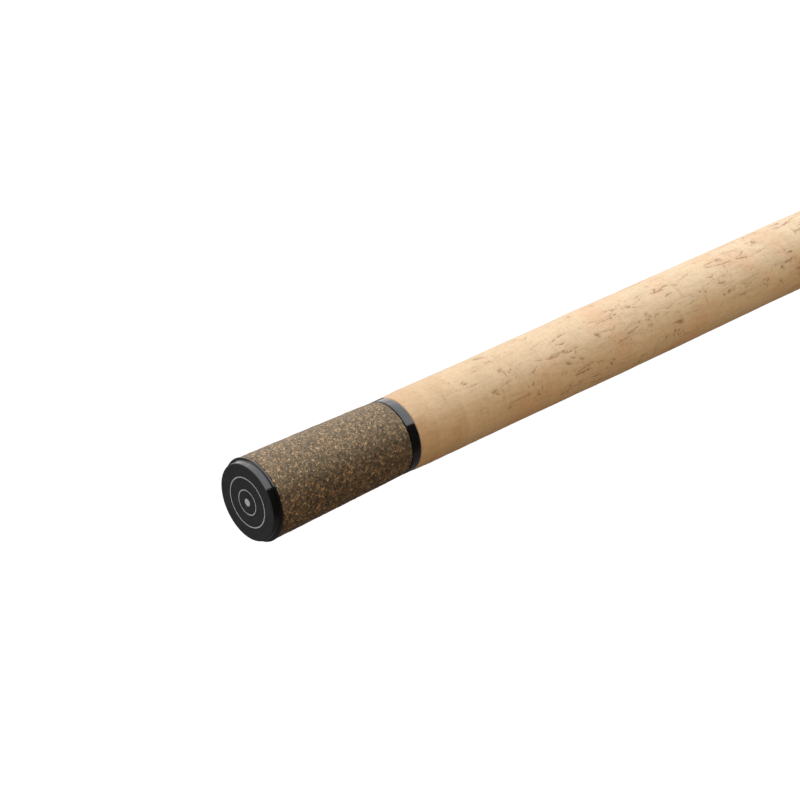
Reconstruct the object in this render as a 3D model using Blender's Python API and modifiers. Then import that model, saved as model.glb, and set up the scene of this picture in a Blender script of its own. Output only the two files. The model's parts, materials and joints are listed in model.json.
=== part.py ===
"""Carp rod, 12 ft, two sections, full cork handle, modelled at its real size.

Frame: the origin is the centre of the butt cap's flat end face. +X runs along
the rod to its tip, +Z is up, and the reel seat and line guides are on the -Z
side. Lengths below are in millimetres and are turned into metres by MM.
"""

import math

import bmesh
import bpy
from mathutils import Matrix, Vector

MM = 0.001
GAP = 0.3  # clearance between neighbouring solids

# ---------------------------------------------------------------- dimensions
# Butt cap
CAP_FACE_R = 13.25
CAP_WALL_R = 13.40
CAP_WALL_X = 2.35
CAP_FLANGE_R = 14.35
CAP_END_X = 2.95
CAP_PLUG_R = 6.5
CAP_PLUG_X = 24.0

# Composite cork butt grip, ring and natural cork rear grip
BUTT_GRIP_X = (CAP_END_X + GAP, 58.6)
BUTT_GRIP_R = (14.25, 12.95)
RING_X = (58.9, 62.3)
RING_R = 12.90
REAR_GRIP_X = (62.6, 455.0)
REAR_GRIP_R = ((64.0, 13.02), (70.0, 13.17), (94.0, 13.10), (125.0, 13.14),
               (156.0, 13.28), (187.0, 13.21), (218.0, 13.08), (249.0, 13.00),
               (300.0, 12.85), (360.0, 12.55), (420.0, 12.25), (453.6, 12.10))

# Blank: a tapered tube in two sections
BUTT_BLANK_X = (3.3, 1850.0)
BUTT_BLANK_R = ((3.3, 8.00), (460.0, 7.40), (700.0, 7.00), (1250.0, 6.10),
                (1850.0, 5.20))
BUTT_WALL = 1.10
TIP_BLANK_X = (1859.0, 3656.0)
TIP_BLANK_R = ((1859.0, 5.20), (2400.0, 4.00), (3000.0, 2.60), (3400.0, 1.75),
               (3656.0, 1.20))
TIP_WALL = 1.00
SPIGOT_X = (1770.0, 1942.0)
SPIGOT_R = (3.78, 3.62)
FERRULE_X = 1859.0

# Reel seat
SEAT_X = (459.5, 585.0)
SEAT_BORE_R = 9.0
SEAT_R = 11.25
THREAD_X = (533.0, 577.0)
THREAD_PITCH = 2.75
THREAD_ROOT_R = 10.55
LAND_Z = -10.45  # flat land that the reel foot rests on
LAND_RELIEF = 0.15  # how much lower it lies under the hoods
KEYWAY_W = 3.0
KEYWAY_Z = 10.1
ARBOR_X = ((465.0, 485.0), (512.0, 532.0), (560.0, 580.0))
FIXED_HOOD_X = (461.0, 494.0)
SLIDING_HOOD_X = (536.0, 566.0)
HOOD_R = 12.45
HOOD_POCKET = 5.8  # height of the reel-foot pocket above the seat
HOOD_SKIN = 1.0
NUT_X = (566.3, 577.5)
NUT_R = 13.6
NUT_FLUTES = 16
NUT_TRIM_X = (577.8, 579.6)
HOOD_TRAVEL = 30.0  # how far the nut can run down the thread

# Fore grip and its collars
REAR_CHECK_X = (455.3, 459.2)
SEAT_COLLAR_X = (585.3, 588.3)
FORE_GRIP_X = (588.6, 668.0)
FORE_GRIP_R = ((590.0, 12.1), (605.0, 12.45), (625.0, 12.2), (650.0, 10.9),
               (666.5, 9.8))
FORE_CHECK_X = (668.3, 676.0)

# Line guides: position, ring radius outside and inside, height of the ring's
# centre under the blank's axis, wire radius, foot start and end from the ring
GUIDES = (
    ("guide_1", 1250.0, 25.0, 21.6, 41.0, 1.05, 11.0, 26.0, 30),
    ("guide_2", 2000.0, 20.0, 17.0, 33.5, 0.95, 9.5, 23.0, 28),
    ("guide_3", 2440.0, 15.0, 12.4, 26.5, 0.85, 8.5, 20.0, 26),
    ("guide_4", 2820.0, 10.5, 8.2, 19.5, 0.75, 7.0, 17.0, 24),
    ("guide_5", 3140.0, 8.5, 6.4, 16.0, 0.65, 6.0, 15.0, 22),
    ("guide_6", 3410.0, 8.0, 6.0, 14.5, 0.60, 6.0, 14.0, 22),
)
FOOT_W = 2.6
FOOT_H = 0.9
WHIP_T = 0.45  # thread and varnish over the foot
TIP_TUBE_X = (3640.0, 3661.0)
TIP_RING = (3664.5, 8.0, 5.6, 9.6)  # x, outer and inner radius, centre below axis

ROUND = 30  # sides of the handle's turned pieces
TUBE = 16  # sides of the blank and small turned pieces


# ------------------------------------------------------------------- helpers
def clear_scene():
    for obj in list(bpy.data.objects):
        bpy.data.objects.remove(obj, do_unlink=True)


def collection(name, hidden=False):
    coll = bpy.data.collections.new(name)
    bpy.context.scene.collection.children.link(coll)
    coll.hide_render = hidden
    return coll


def material(name, colour, roughness, metallic=0.0):
    mat = bpy.data.materials.new(name)
    mat.use_nodes = True
    mat.diffuse_color = (*colour, 1.0)
    shader = mat.node_tree.nodes["Principled BSDF"]
    shader.inputs["Base Color"].default_value = (*colour, 1.0)
    shader.inputs["Roughness"].default_value = roughness
    shader.inputs["Metallic"].default_value = metallic
    return mat


FINISH = {
    "black_plastic": ((0.015, 0.015, 0.016), 0.35, 0.0),
    "gloss_black": ((0.008, 0.008, 0.009), 0.10, 0.0),
    "composite_cork": ((0.135, 0.085, 0.05), 0.80, 0.0),
    "cork": ((0.62, 0.40, 0.22), 0.65, 0.0),
    "carbon": ((0.012, 0.012, 0.014), 0.18, 0.0),
    "steel": ((0.20, 0.20, 0.21), 0.28, 1.0),
    "ceramic": ((0.02, 0.02, 0.022), 0.12, 0.0),
    "thread": ((0.01, 0.01, 0.012), 0.15, 0.0),
    "arbor": ((0.30, 0.27, 0.22), 0.80, 0.0),
    "guide_frame": ((0.03, 0.03, 0.033), 0.30, 1.0),
}


def finish(obj, kind):
    """Each object has a material of its own, named for it."""
    colour, roughness, metallic = FINISH[kind]
    obj.data.materials.clear()
    obj.data.materials.append(material(obj.name, colour, roughness, metallic))


def new_object(name, data, coll, at=(0.0, 0.0, 0.0), parent=None):
    obj = bpy.data.objects.new(name, data)
    coll.objects.link(obj)
    if parent is not None:
        obj.parent = parent
        at = Vector(at) - parent_place(parent)
    obj.location = Vector(at)
    return obj


def parent_place(parent):
    place = Vector((0.0, 0.0, 0.0))
    while parent is not None:
        place += parent.location
        parent = parent.parent
    return place


def along(points, x):
    """Radius at x on a profile given as (x, radius) pairs."""
    points = list(points)
    if x <= points[0][0]:
        return points[0][1]
    for (xa, ra), (xb, rb) in zip(points, points[1:]):
        if x <= xb:
            return ra + (rb - ra) * (x - xa) / (xb - xa)
    return points[-1][1]


def between(points, x0, x1):
    """The part of a profile from x0 to x1, with both ends."""
    inside = [(x, r) for x, r in points if x0 + 0.05 < x < x1 - 0.05]
    return [(x0, along(points, x0)), *inside, (x1, along(points, x1))]


def turned(name, outer, inner, coll, kind, steps=ROUND, parent=None, axis_z=0.0):
    """A piece turned about a line along X. outer and inner are (x, radius)
    pairs with x rising; without inner the piece is solid. The profile runs
    down the outer side from the tip end to the butt end."""
    x0 = outer[0][0]
    chain = [(x - x0, r) for x, r in reversed(outer)]
    if inner:
        chain += [(x - x0, r) for x, r in inner]
    else:
        chain = [(chain[0][0], 0.0), *chain, (chain[-1][0], 0.0)]
    mesh = bpy.data.meshes.new(name)
    edges = [(i, i + 1) for i in range(len(chain) - 1)]
    if inner:
        edges.append((len(chain) - 1, 0))
    mesh.from_pydata([(r * MM, 0.0, x * MM) for x, r in chain], edges, [])
    obj = new_object(name, mesh, coll, (x0 * MM, 0.0, axis_z * MM), parent)
    obj.rotation_euler = (0.0, math.pi / 2, 0.0)
    screw = obj.modifiers.new("Turn", "SCREW")
    screw.axis = "Z"
    screw.angle = 2 * math.pi
    screw.steps = screw.render_steps = steps
    screw.use_merge_vertices = True
    screw.merge_threshold = 1e-6
    screw.use_smooth_shade = True
    if kind:
        finish(obj, kind)
    return obj


def lofted(name, rings, coll, kind, at_x, parent=None):
    """A closed tube-like body from rings of points, the last joined to the
    first, used where the section changes from round to pocketed or fluted.
    The rings run along the outer side to the tip end and back down the bore."""
    mesh = bpy.data.meshes.new(name)
    bm = bmesh.new()
    loops = [[bm.verts.new((x * MM, y * MM, z * MM)) for x, y, z in ring]
             for ring in rings]
    count = len(loops[0])
    for a, b in zip(loops, loops[1:] + loops[:1]):
        for i in range(count):
            j = (i + 1) % count
            bm.faces.new((a[i], a[j], b[j], b[i]))
    bmesh.ops.recalc_face_normals(bm, faces=bm.faces)
    if bm.calc_volume(signed=True) < 0:
        bmesh.ops.reverse_faces(bm, faces=bm.faces)
    bm.to_mesh(mesh)
    bm.free()
    mesh.shade_smooth()
    mesh.set_sharp_from_angle(angle=math.radians(35))
    obj = new_object(name, mesh, coll, (at_x * MM, 0.0, 0.0), parent)
    if kind:
        finish(obj, kind)
    return obj


def block(name, low, high, coll, kind=None, parent=None):
    """A box given by its lowest and highest corners."""
    mesh = bpy.data.meshes.new(name)
    bm = bmesh.new()
    bmesh.ops.create_cube(bm, size=1.0)
    size = [(b - a) * MM for a, b in zip(low, high)]
    bmesh.ops.scale(bm, vec=size, verts=bm.verts)
    bm.to_mesh(mesh)
    bm.free()
    middle = [(a + b) / 2 * MM for a, b in zip(low, high)]
    obj = new_object(name, mesh, coll, middle, parent)
    if kind:
        finish(obj, kind)
    return obj


def boolean(obj, other, operation):
    cut = obj.modifiers.new(other.name, "BOOLEAN")
    cut.operation = operation
    cut.object = other
    cut.solver = "EXACT"
    return cut


def helper(obj):
    obj.hide_render = True
    obj.display_type = "WIRE"
    return obj


def bezier(a, b, c, d, count):
    """Points on the cubic curve from a to d."""
    points = []
    for i in range(count + 1):
        t = i / count
        u = 1 - t
        points.append(a * u ** 3 + b * 3 * u * u * t + c * 3 * u * t * t + d * t ** 3)
    return points


def wire(name, points, radius, coll, at):
    """A bent wire, made a mesh so that a Boolean can join it."""
    data = bpy.data.curves.new(name, "CURVE")
    data.dimensions = "3D"
    data.bevel_depth = radius * MM
    data.bevel_resolution = 1
    data.use_fill_caps = True
    spline = data.splines.new("POLY")
    spline.points.add(len(points) - 1)
    for point, place in zip(spline.points, points):
        point.co = (*(place * MM), 1.0)
    curve = new_object(name + "_curve", data, coll, at)
    bpy.context.view_layer.update()
    graph = bpy.context.evaluated_depsgraph_get()
    mesh = bpy.data.meshes.new_from_object(curve.evaluated_get(graph))
    bm = bmesh.new()
    bm.from_mesh(mesh)
    bmesh.ops.remove_doubles(bm, verts=bm.verts, dist=1e-6)
    bmesh.ops.recalc_face_normals(bm, faces=bm.faces)
    bm.to_mesh(mesh)
    bm.free()
    obj = bpy.data.objects.new(name, mesh)
    coll.objects.link(obj)
    obj.matrix_world = curve.matrix_world
    bpy.data.objects.remove(curve, do_unlink=True)
    return helper(obj)


def hull(points):
    """Convex outline of points in the plane, anticlockwise."""
    points = sorted(set(points))

    def chain(order):
        out = []
        for p in order:
            while len(out) > 1 and (
                (out[-1][0] - out[-2][0]) * (p[1] - out[-2][1])
                - (out[-1][1] - out[-2][1]) * (p[0] - out[-2][0])
            ) <= 1e-6:
                out.pop()
            out.append(p)
        return out[:-1]

    return chain(points) + chain(points[::-1])


def wrap_outline(radius, grow, half_w, low, sides):
    """Outline of thread laid over a round blank and a flat foot under it: the
    convex outline of the circle and the foot, both grown by the same amount."""
    circle = [((radius + grow) * math.cos(2 * math.pi * (i + 0.5) / sides),
               (radius + grow) * math.sin(2 * math.pi * (i + 0.5) / sides))
              for i in range(sides)]
    corners = []
    for sign in (-1, 1):
        for turn in range(3):
            angle = math.pi / 2 * turn / 2
            corners.append((sign * (half_w + grow * math.sin(angle)),
                            low - grow * math.cos(angle)))
    return hull([(round(y, 5), round(z, 5)) for y, z in circle + corners])


def whipping(name, x0, x1, radius, coll, parent):
    """Thread whipping over a guide foot: a flat outline with a hole, extruded
    along the rod."""
    low = -(radius + GAP + FOOT_H)
    half = FOOT_W / 2
    data = bpy.data.curves.new(name, "CURVE")
    data.dimensions = "2D"
    data.fill_mode = "BOTH"
    data.extrude = (x1 - x0) / 2 * MM
    for grow in (GAP + WHIP_T, GAP):
        outline = wrap_outline(radius, grow, half, low, 20)
        spline = data.splines.new("POLY")
        spline.points.add(len(outline) - 1)
        spline.use_cyclic_u = True
        # the outline's plane turns so that its x is world y and its y world z
        for point, (y, z) in zip(spline.points, outline):
            point.co = (y * MM, z * MM, 0.0, 1.0)
    obj = new_object(name, data, coll, ((x0 + x1) / 2 * MM, 0.0, 0.0), parent)
    obj.rotation_euler = Matrix(((0, 0, 1), (1, 0, 0), (0, 1, 0))).to_euler()
    finish(obj, "thread")
    return obj


# -------------------------------------------------------------------- pieces
def empty(name, x, coll, parent=None):
    obj = new_object(name, None, coll, (x * MM, 0.0, 0.0), parent)
    obj.empty_display_size = 0.03
    return obj


def handle(parts, cutters):
    """Butt cap, grips, collars and arbors, from the butt end up."""
    turned("butt_cap",
           [(0.0, CAP_FACE_R - 0.25), (0.25, CAP_FACE_R), (CAP_WALL_X, CAP_WALL_R),
            (CAP_WALL_X + 0.12, CAP_FLANGE_R - 0.1), (CAP_END_X - 0.1, CAP_FLANGE_R),
            (CAP_END_X, CAP_FLANGE_R - 0.05), (CAP_END_X + 0.001, CAP_PLUG_R),
            (CAP_PLUG_X - 1.0, CAP_PLUG_R), (CAP_PLUG_X, CAP_PLUG_R - 0.8)],
           None, parts, "black_plastic")

    def bore(x0, x1):
        return [(x, along(BUTT_BLANK_R, x) + GAP) for x in (x0, x1)]

    x0, x1 = BUTT_GRIP_X
    turned("butt_grip",
           [(x0, BUTT_GRIP_R[0] - 0.25), (x0 + 0.25, BUTT_GRIP_R[0]),
            (x1 - 0.15, BUTT_GRIP_R[1]), (x1, BUTT_GRIP_R[1] - 0.15)],
           bore(x0, x1), parts, "composite_cork")
    x0, x1 = RING_X
    turned("grip_ring",
           [(x0, RING_R - 0.2), (x0 + 0.2, RING_R), (x1 - 0.2, RING_R),
            (x1, RING_R - 0.2)], bore(x0, x1), parts, "gloss_black")
    x0, x1 = REAR_GRIP_X
    turned("rear_grip",
           [(x0, REAR_GRIP_R[0][1] - 0.35), (x0 + 0.35, REAR_GRIP_R[0][1] - 0.05),
            *REAR_GRIP_R, (x1, REAR_GRIP_R[-1][1] - 0.4)],
           bore(x0, x1), parts, "cork")
    x0, x1 = REAR_CHECK_X
    turned("rear_winding_check",
           [(x0, 12.0), (x0 + 0.4, 12.3), (x1 - 0.8, 12.3), (x1, 11.8)],
           bore(x0, x1), parts, "gloss_black", steps=28)
    x0, x1 = SEAT_COLLAR_X
    turned("fore_seat_collar",
           [(x0, 11.7), (x0 + 0.5, 12.2), (x1 - 0.4, 12.2), (x1, 11.9)],
           bore(x0, x1), parts, "gloss_black", steps=28)
    x0, x1 = FORE_GRIP_X
    turned("fore_grip",
           [(x0, FORE_GRIP_R[0][1] - 0.4), *FORE_GRIP_R,
            (x1, FORE_GRIP_R[-1][1] - 0.4)], bore(x0, x1), parts, "cork", steps=32)
    x0, x1 = FORE_CHECK_X
    turned("fore_winding_check",
           [(x0, 9.4), (x0 + 0.5, 9.7), (x0 + 3.0, 9.3), (x1 - 0.5, 8.0), (x1, 7.6)],
           bore(x0, x1), parts, "gloss_black", steps=28)
    for i, (x0, x1) in enumerate(ARBOR_X):
        turned(f"seat_arbor_{i + 1}",
               [(x0, SEAT_BORE_R - GAP), (x1, SEAT_BORE_R - GAP)],
               bore(x0, x1), parts, "arbor", steps=TUBE)


def blanks(parts, tip):
    """The two tapered tubes, the ferrule spigot and the ferrule whippings."""
    x0, x1 = BUTT_BLANK_X
    outer = between(BUTT_BLANK_R, x0, x1)
    turned("butt_blank", outer, [(x, r - BUTT_WALL) for x, r in outer],
           parts, "carbon", steps=TUBE)
    x0, x1 = TIP_BLANK_X
    outer = between(TIP_BLANK_R, x0, x1)
    turned("tip_blank", outer,
           [(x, max(r - TIP_WALL, r * 0.45)) for x, r in outer],
           tip_parts(parts), "carbon", steps=TUBE, parent=tip)
    x0, x1 = SPIGOT_X
    turned("ferrule_spigot",
           [(x0, SPIGOT_R[0] - 0.4), (x0 + 1.0, SPIGOT_R[0]),
            (x1 - 1.5, SPIGOT_R[1]), (x1, SPIGOT_R[1] - 0.6)],
           None, parts, "carbon", steps=TUBE)
    for name, x0, x1, profile, parent in (
            ("ferrule_whipping_butt", 1818.0, 1849.0, BUTT_BLANK_R, None),
            ("ferrule_whipping_tip", 1860.0, 1892.0, TIP_BLANK_R, tip)):
        inner = [(x, along(profile, x) + GAP) for x in (x0, x1)]
        outer = [(x0, inner[0][1] + 0.15), (x0 + 1.5, inner[0][1] + WHIP_T),
                 (x1 - 1.5, inner[1][1] + WHIP_T), (x1, inner[1][1] + 0.15)]
        turned(name, outer, inner, parts, "thread", steps=TUBE, parent=parent)


def tip_parts(parts):
    return parts


def pocket_window(angle, flat, edge):
    """1 within flat degrees of straight down, falling smoothly to 0 at edge."""
    off = abs((math.degrees(angle) + 180.0) % 360.0 - 180.0)
    if off <= flat:
        return 1.0
    if off >= edge:
        return 0.0
    t = (off - flat) / (edge - flat)
    return 1.0 - t * t * (3 - 2 * t)


def hood(name, x0, x1, mouth_at_tip, parts, parent=None):
    """A sleeve round the seat with a pocket under it for the reel's foot. The
    pocket is open at the end that faces the other hood."""
    length = x1 - x0
    bore = SEAT_R + 0.4
    sides = 36
    angles = [2 * math.pi * i / sides for i in range(sides)]

    def ring(x, radius):
        # the angle is measured from straight down (-Z) towards +Y
        return [(x, radius(a) * math.sin(a), -radius(a) * math.cos(a))
                for a in angles]

    def station(t):
        return length * t if mouth_at_tip else length * (1 - t)

    outer_steps = ((0.0, HOOD_R - 0.3, 0.0), (0.03, HOOD_R, 0.0), (0.22, HOOD_R, 0.10),
                   (0.42, HOOD_R, 0.62), (0.62, HOOD_R, 0.90), (0.85, HOOD_R, 1.0),
                   (1.0, HOOD_R, 1.0))
    inner_steps = ((1.0, 1.0), (0.85, 0.98), (0.62, 0.84), (0.50, 0.55),
                   (0.40, 0.0), (0.0, 0.0))
    rise = HOOD_POCKET + HOOD_SKIN - (HOOD_R - bore)
    rings = [ring(station(t), lambda a, r=r, k=k: r + rise * k * pocket_window(a, 38, 72))
             for t, r, k in outer_steps]
    rings += [ring(station(t), lambda a, k=k: bore + HOOD_POCKET * k * pocket_window(a, 36, 62))
              for t, k in inner_steps]
    return lofted(name, rings, parts, "steel", x0, parent)


def reel_seat(parts, cutters, hood_axis, nut_axis):
    """Seat body with its thread, land and keyway, both hoods and the nut."""
    x0, x1 = SEAT_X
    outer = [(x0, SEAT_R - 0.4), (x0 + 0.4, SEAT_R), (THREAD_X[0], SEAT_R)]
    x = THREAD_X[0] + 1.0
    while x + THREAD_PITCH < THREAD_X[1]:
        outer += [(x, THREAD_ROOT_R), (x + THREAD_PITCH * 0.5, SEAT_R)]
        x += THREAD_PITCH
    outer += [(x, THREAD_ROOT_R), (THREAD_X[1] + 1.0, SEAT_R),
              (x1 - 0.4, SEAT_R), (x1, SEAT_R - 0.4)]
    body = turned("reel_seat_body", outer, [(x0, SEAT_BORE_R), (x1, SEAT_BORE_R)],
                  parts, "black_plastic", steps=24)
    land = block("land_cutter", (FIXED_HOOD_X[1], -12.0, LAND_Z - 4.0),
                 (SLIDING_HOOD_X[0], 12.0, LAND_Z), cutters)
    # the land is relieved where the hoods cover it, so that the foot bears
    # only on the open stretch between them
    relief = [block(f"relief_cutter_{i}", (x0, -12.0, LAND_Z - 5.0),
                    (x1, 12.0, LAND_Z + LAND_RELIEF), cutters)
              for i, (x0, x1) in enumerate((
                  (FIXED_HOOD_X[1] - 31.0, FIXED_HOOD_X[1] + 0.5),
                  (SLIDING_HOOD_X[0] - 0.5, SLIDING_HOOD_X[1])))]
    keyway = block("keyway_cutter",
                   (SLIDING_HOOD_X[0] - HOOD_TRAVEL - 1.0, -KEYWAY_W / 2, KEYWAY_Z),
                   (SLIDING_HOOD_X[1] + 8.0, KEYWAY_W / 2, KEYWAY_Z + 4.0), cutters)
    for cutter in (land, *relief, keyway):
        boolean(body, helper(cutter), "DIFFERENCE")

    hood("fixed_hood", *FIXED_HOOD_X, True, parts)
    slider = hood("sliding_hood", *SLIDING_HOOD_X, False, parts, hood_axis)
    key = block("hood_key", (SLIDING_HOOD_X[0] + 1.0, -KEYWAY_W / 2 + GAP, KEYWAY_Z + GAP),
                (SLIDING_HOOD_X[0] + 13.0, KEYWAY_W / 2 - GAP, HOOD_R - 0.4),
                cutters, parent=hood_axis)
    boolean(slider, helper(key), "UNION")

    sides = NUT_FLUTES * 4
    x0, x1 = NUT_X
    grip = []
    for x, base, depth in ((0.0, NUT_R - 0.9, 0.0), (0.8, NUT_R - 0.35, 0.35),
                           (x1 - x0 - 0.8, NUT_R - 0.35, 0.35),
                           (x1 - x0, NUT_R - 0.9, 0.0)):
        ring = []
        for i in range(sides):
            a = 2 * math.pi * i / sides
            r = base + depth * math.cos(NUT_FLUTES * a)
            ring.append((x, r * math.sin(a), -r * math.cos(a)))
        grip.append(ring)
    for x in (x1 - x0, 0.0):
        r = SEAT_R + GAP
        grip.append([(x, r * math.sin(2 * math.pi * i / sides),
                      -r * math.cos(2 * math.pi * i / sides)) for i in range(sides)])
    lofted("lock_nut", grip, parts, "black_plastic", x0, nut_axis)
    x0, x1 = NUT_TRIM_X
    turned("nut_trim_ring",
           [(x0, 12.7), (x0 + 0.3, 13.0), (x1 - 0.5, 13.0), (x1, 12.5)],
           [(x0, SEAT_R + GAP), (x1, SEAT_R + GAP)], parts, "steel",
           steps=28, parent=nut_axis)


def ring_and_insert(name, x, outer_r, inner_r, low, width, sides, parts, parent):
    """The frame's ring and the ceramic insert inside it, both turned about a
    line along X through the ring's centre."""
    seat_r = inner_r + (outer_r - inner_r) * 0.42
    half = width / 2
    frame = turned(name + "_frame",
                   [(x - half, outer_r - 0.3), (x - half + 0.3, outer_r),
                    (x + half - 0.3, outer_r), (x + half, outer_r - 0.3)],
                   [(x - half, seat_r), (x + half, seat_r)],
                   parts, "guide_frame", steps=sides, parent=parent, axis_z=-low)
    lip = half + 0.25
    turned(name + "_insert",
           [(x - half * 0.8, seat_r - GAP), (x + half * 0.8, seat_r - GAP)],
           [(x - lip * 0.6, inner_r + 0.25), (x, inner_r), (x + lip * 0.6, inner_r + 0.25)],
           parts, "ceramic", steps=sides, parent=parent, axis_z=-low)
    return frame


def foot(name, x0, x1, toe_at_x1, top, coll):
    """A flat foot, its toe thinned and narrowed, lying along the blank."""
    obj = block(name, (x0, -FOOT_W / 2, top - FOOT_H), (x1, FOOT_W / 2, top), coll)
    for vertex in obj.data.vertices:
        if (vertex.co.x > 0) == toe_at_x1:
            vertex.co.y *= 0.55
            if vertex.co.z < 0:
                vertex.co.z *= -0.2
    return helper(obj)


def line_guide(spec, profile, parts, cutters, parent):
    """A two-footed guide: a ring on two front braces and one rear brace, with
    a whipping over each foot."""
    name, x, outer_r, inner_r, low, wire_r, foot_in, foot_out, sides = spec
    blank_r = max(along(profile, x - foot_out - 3), along(profile, x + foot_out + 3))
    frame = ring_and_insert(name, x, outer_r, inner_r, low, 2.4 + outer_r * 0.03,
                            sides, parts, parent)
    top = -(blank_r + GAP)
    for side, label in ((1, "front"), (-1, "rear")):
        xs = sorted((x + side * foot_in, x + side * foot_out))
        boolean(frame, foot(f"{name}_{label}_foot", *xs, side > 0, top, cutters), "UNION")
    start_z = top - wire_r - 0.05
    mid_r = outer_r - wire_r
    spread = math.radians(52)
    at = Vector((0.0, 0.0, 0.0))
    for sign, label in ((1, "left"), (-1, "right")):
        start = Vector((x + foot_in + 1.2, sign * 0.35, start_z))
        end = Vector((x, sign * mid_r * math.sin(spread),
                      -low + mid_r * math.cos(spread)))
        # the brace meets the ring running along it
        run = outer_r * 0.55
        leave = start + Vector((-foot_in * 0.55, sign * outer_r * 0.12, -low * 0.02))
        arrive = end + Vector((foot_in * 0.20, -sign * run * math.cos(spread),
                               run * math.sin(spread)))
        boolean(frame, wire(f"{name}_{label}_brace",
                            bezier(start, leave, arrive, end, 5), wire_r, cutters, at),
                "UNION")
    start = Vector((x - foot_in - 1.2, 0.0, start_z))
    end = Vector((x - 0.1, 0.0, -low + mid_r))
    leave = start + Vector((foot_in * 0.45, 0.0, -0.2))
    arrive = end + Vector((-foot_in * 0.30, 0.0, (start_z - end.z) * 0.55))
    boolean(frame, wire(f"{name}_rear_brace", bezier(start, leave, arrive, end, 5),
                        wire_r * 1.1, cutters, at), "UNION")
    for side, label in ((1, "front"), (-1, "rear")):
        a = x + side * (foot_in + 2.6)
        b = x + side * (foot_out + 2.4)
        whipping(f"{name}_{label}_whipping", min(a, b), max(a, b), blank_r, parts, parent)


def tip_guide(parts, cutters, parent):
    """Sleeve over the blank's end, with a small ring held under its end."""
    x0, x1 = TIP_TUBE_X
    end = TIP_BLANK_X[1] + 1.0
    bore = [(x0, along(TIP_BLANK_R, x0) + GAP), (end, 1.2 + GAP)]
    x, outer_r, inner_r, low = TIP_RING
    frame = ring_and_insert("tip_guide", x, outer_r, inner_r, low, 2.4, 24, parts, parent)
    # a solid collar first, then its blind bore is cut from it
    sleeve = turned("tip_sleeve", [(x0, bore[0][1] + 0.45), (x1 - 1.0, 2.0), (x1, 1.4)],
                    None, cutters, None, steps=16)
    boolean(frame, helper(sleeve), "UNION")
    start = Vector((x1 - 2.5, 0.0, -0.2))
    stop = Vector((x, 0.0, -low + outer_r - 1.0))
    boolean(frame, wire("tip_neck", bezier(start, start + Vector((2.5, 0.0, 0.0)),
                                           stop + Vector((0.0, 0.0, 1.4)), stop, 4),
                        1.0, cutters, Vector((0, 0, 0))), "UNION")
    for sign, label in ((1, "left"), (-1, "right")):
        start = Vector((x0 + 5.0, sign * 1.5, -1.2))
        reach = outer_r - 0.65
        stop = Vector((x - 0.1, sign * reach * math.sin(math.radians(100)),
                       -low + reach * math.cos(math.radians(100))))
        leave = start + Vector((6.0, sign * 1.2, -1.6))
        arrive = stop + Vector((-6.0, 0.0, 1.5))
        boolean(frame, wire(f"tip_{label}_brace", bezier(start, leave, arrive, stop, 5),
                            0.6, cutters, Vector((0, 0, 0))), "UNION")
    hole = turned("tip_bore", [(x0 - 2.0, bore[0][1] + 0.02), *bore[1:]], None,
                  cutters, None, steps=16)
    boolean(frame, helper(hole), "DIFFERENCE")
    x1 = x0 - 0.4
    x0 = x1 - 9.0
    inner = [(x, along(TIP_BLANK_R, x) + GAP) for x in (x0, x1)]
    turned("tip_guide_whipping",
           [(x0, inner[0][1] + 0.15), (x0 + 1.2, inner[0][1] + WHIP_T),
            (x1 - 0.8, inner[1][1] + WHIP_T), (x1, inner[1][1] + 0.2)],
           inner, parts, "thread", steps=16, parent=parent)


def main():
    clear_scene()
    parts = collection("carp_rod")
    cutters = collection("cutters", hidden=True)
    tip = empty("tip_section_axis", FERRULE_X, parts)
    hood_axis = empty("hood_slide_axis", SLIDING_HOOD_X[0], parts)
    nut_axis = empty("nut_axis", NUT_X[0], parts, hood_axis)
    handle(parts, cutters)
    blanks(parts, tip)
    reel_seat(parts, cutters, hood_axis, nut_axis)
    line_guide(GUIDES[0], BUTT_BLANK_R, parts, cutters, None)
    for spec in GUIDES[1:]:
        line_guide(spec, TIP_BLANK_R, parts, cutters, tip)
    tip_guide(parts, cutters, tip)
    bpy.context.view_layer.update()


main()
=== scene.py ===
import json
import math

import bpy
import numpy as np
from mathutils import Matrix, Vector

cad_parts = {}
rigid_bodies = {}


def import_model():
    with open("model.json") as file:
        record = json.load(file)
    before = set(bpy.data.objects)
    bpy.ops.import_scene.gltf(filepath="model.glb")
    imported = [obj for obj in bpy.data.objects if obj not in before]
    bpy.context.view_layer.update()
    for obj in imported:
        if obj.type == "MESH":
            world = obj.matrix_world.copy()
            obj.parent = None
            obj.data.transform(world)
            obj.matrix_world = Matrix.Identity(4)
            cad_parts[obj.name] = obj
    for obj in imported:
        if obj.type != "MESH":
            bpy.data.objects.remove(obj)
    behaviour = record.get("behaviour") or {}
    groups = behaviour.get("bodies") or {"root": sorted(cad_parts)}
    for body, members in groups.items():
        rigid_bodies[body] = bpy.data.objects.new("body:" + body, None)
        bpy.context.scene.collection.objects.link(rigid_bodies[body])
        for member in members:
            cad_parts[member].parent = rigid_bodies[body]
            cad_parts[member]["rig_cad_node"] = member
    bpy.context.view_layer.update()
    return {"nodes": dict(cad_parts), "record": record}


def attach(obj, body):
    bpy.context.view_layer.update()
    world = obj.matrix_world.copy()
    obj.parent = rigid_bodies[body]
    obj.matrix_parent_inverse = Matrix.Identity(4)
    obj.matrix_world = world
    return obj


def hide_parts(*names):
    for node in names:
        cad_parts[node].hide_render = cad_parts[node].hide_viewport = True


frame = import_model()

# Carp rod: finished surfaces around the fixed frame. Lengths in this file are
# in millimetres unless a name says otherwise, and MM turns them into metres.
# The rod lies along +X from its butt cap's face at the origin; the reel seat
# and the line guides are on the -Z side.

MM = 0.001

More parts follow.
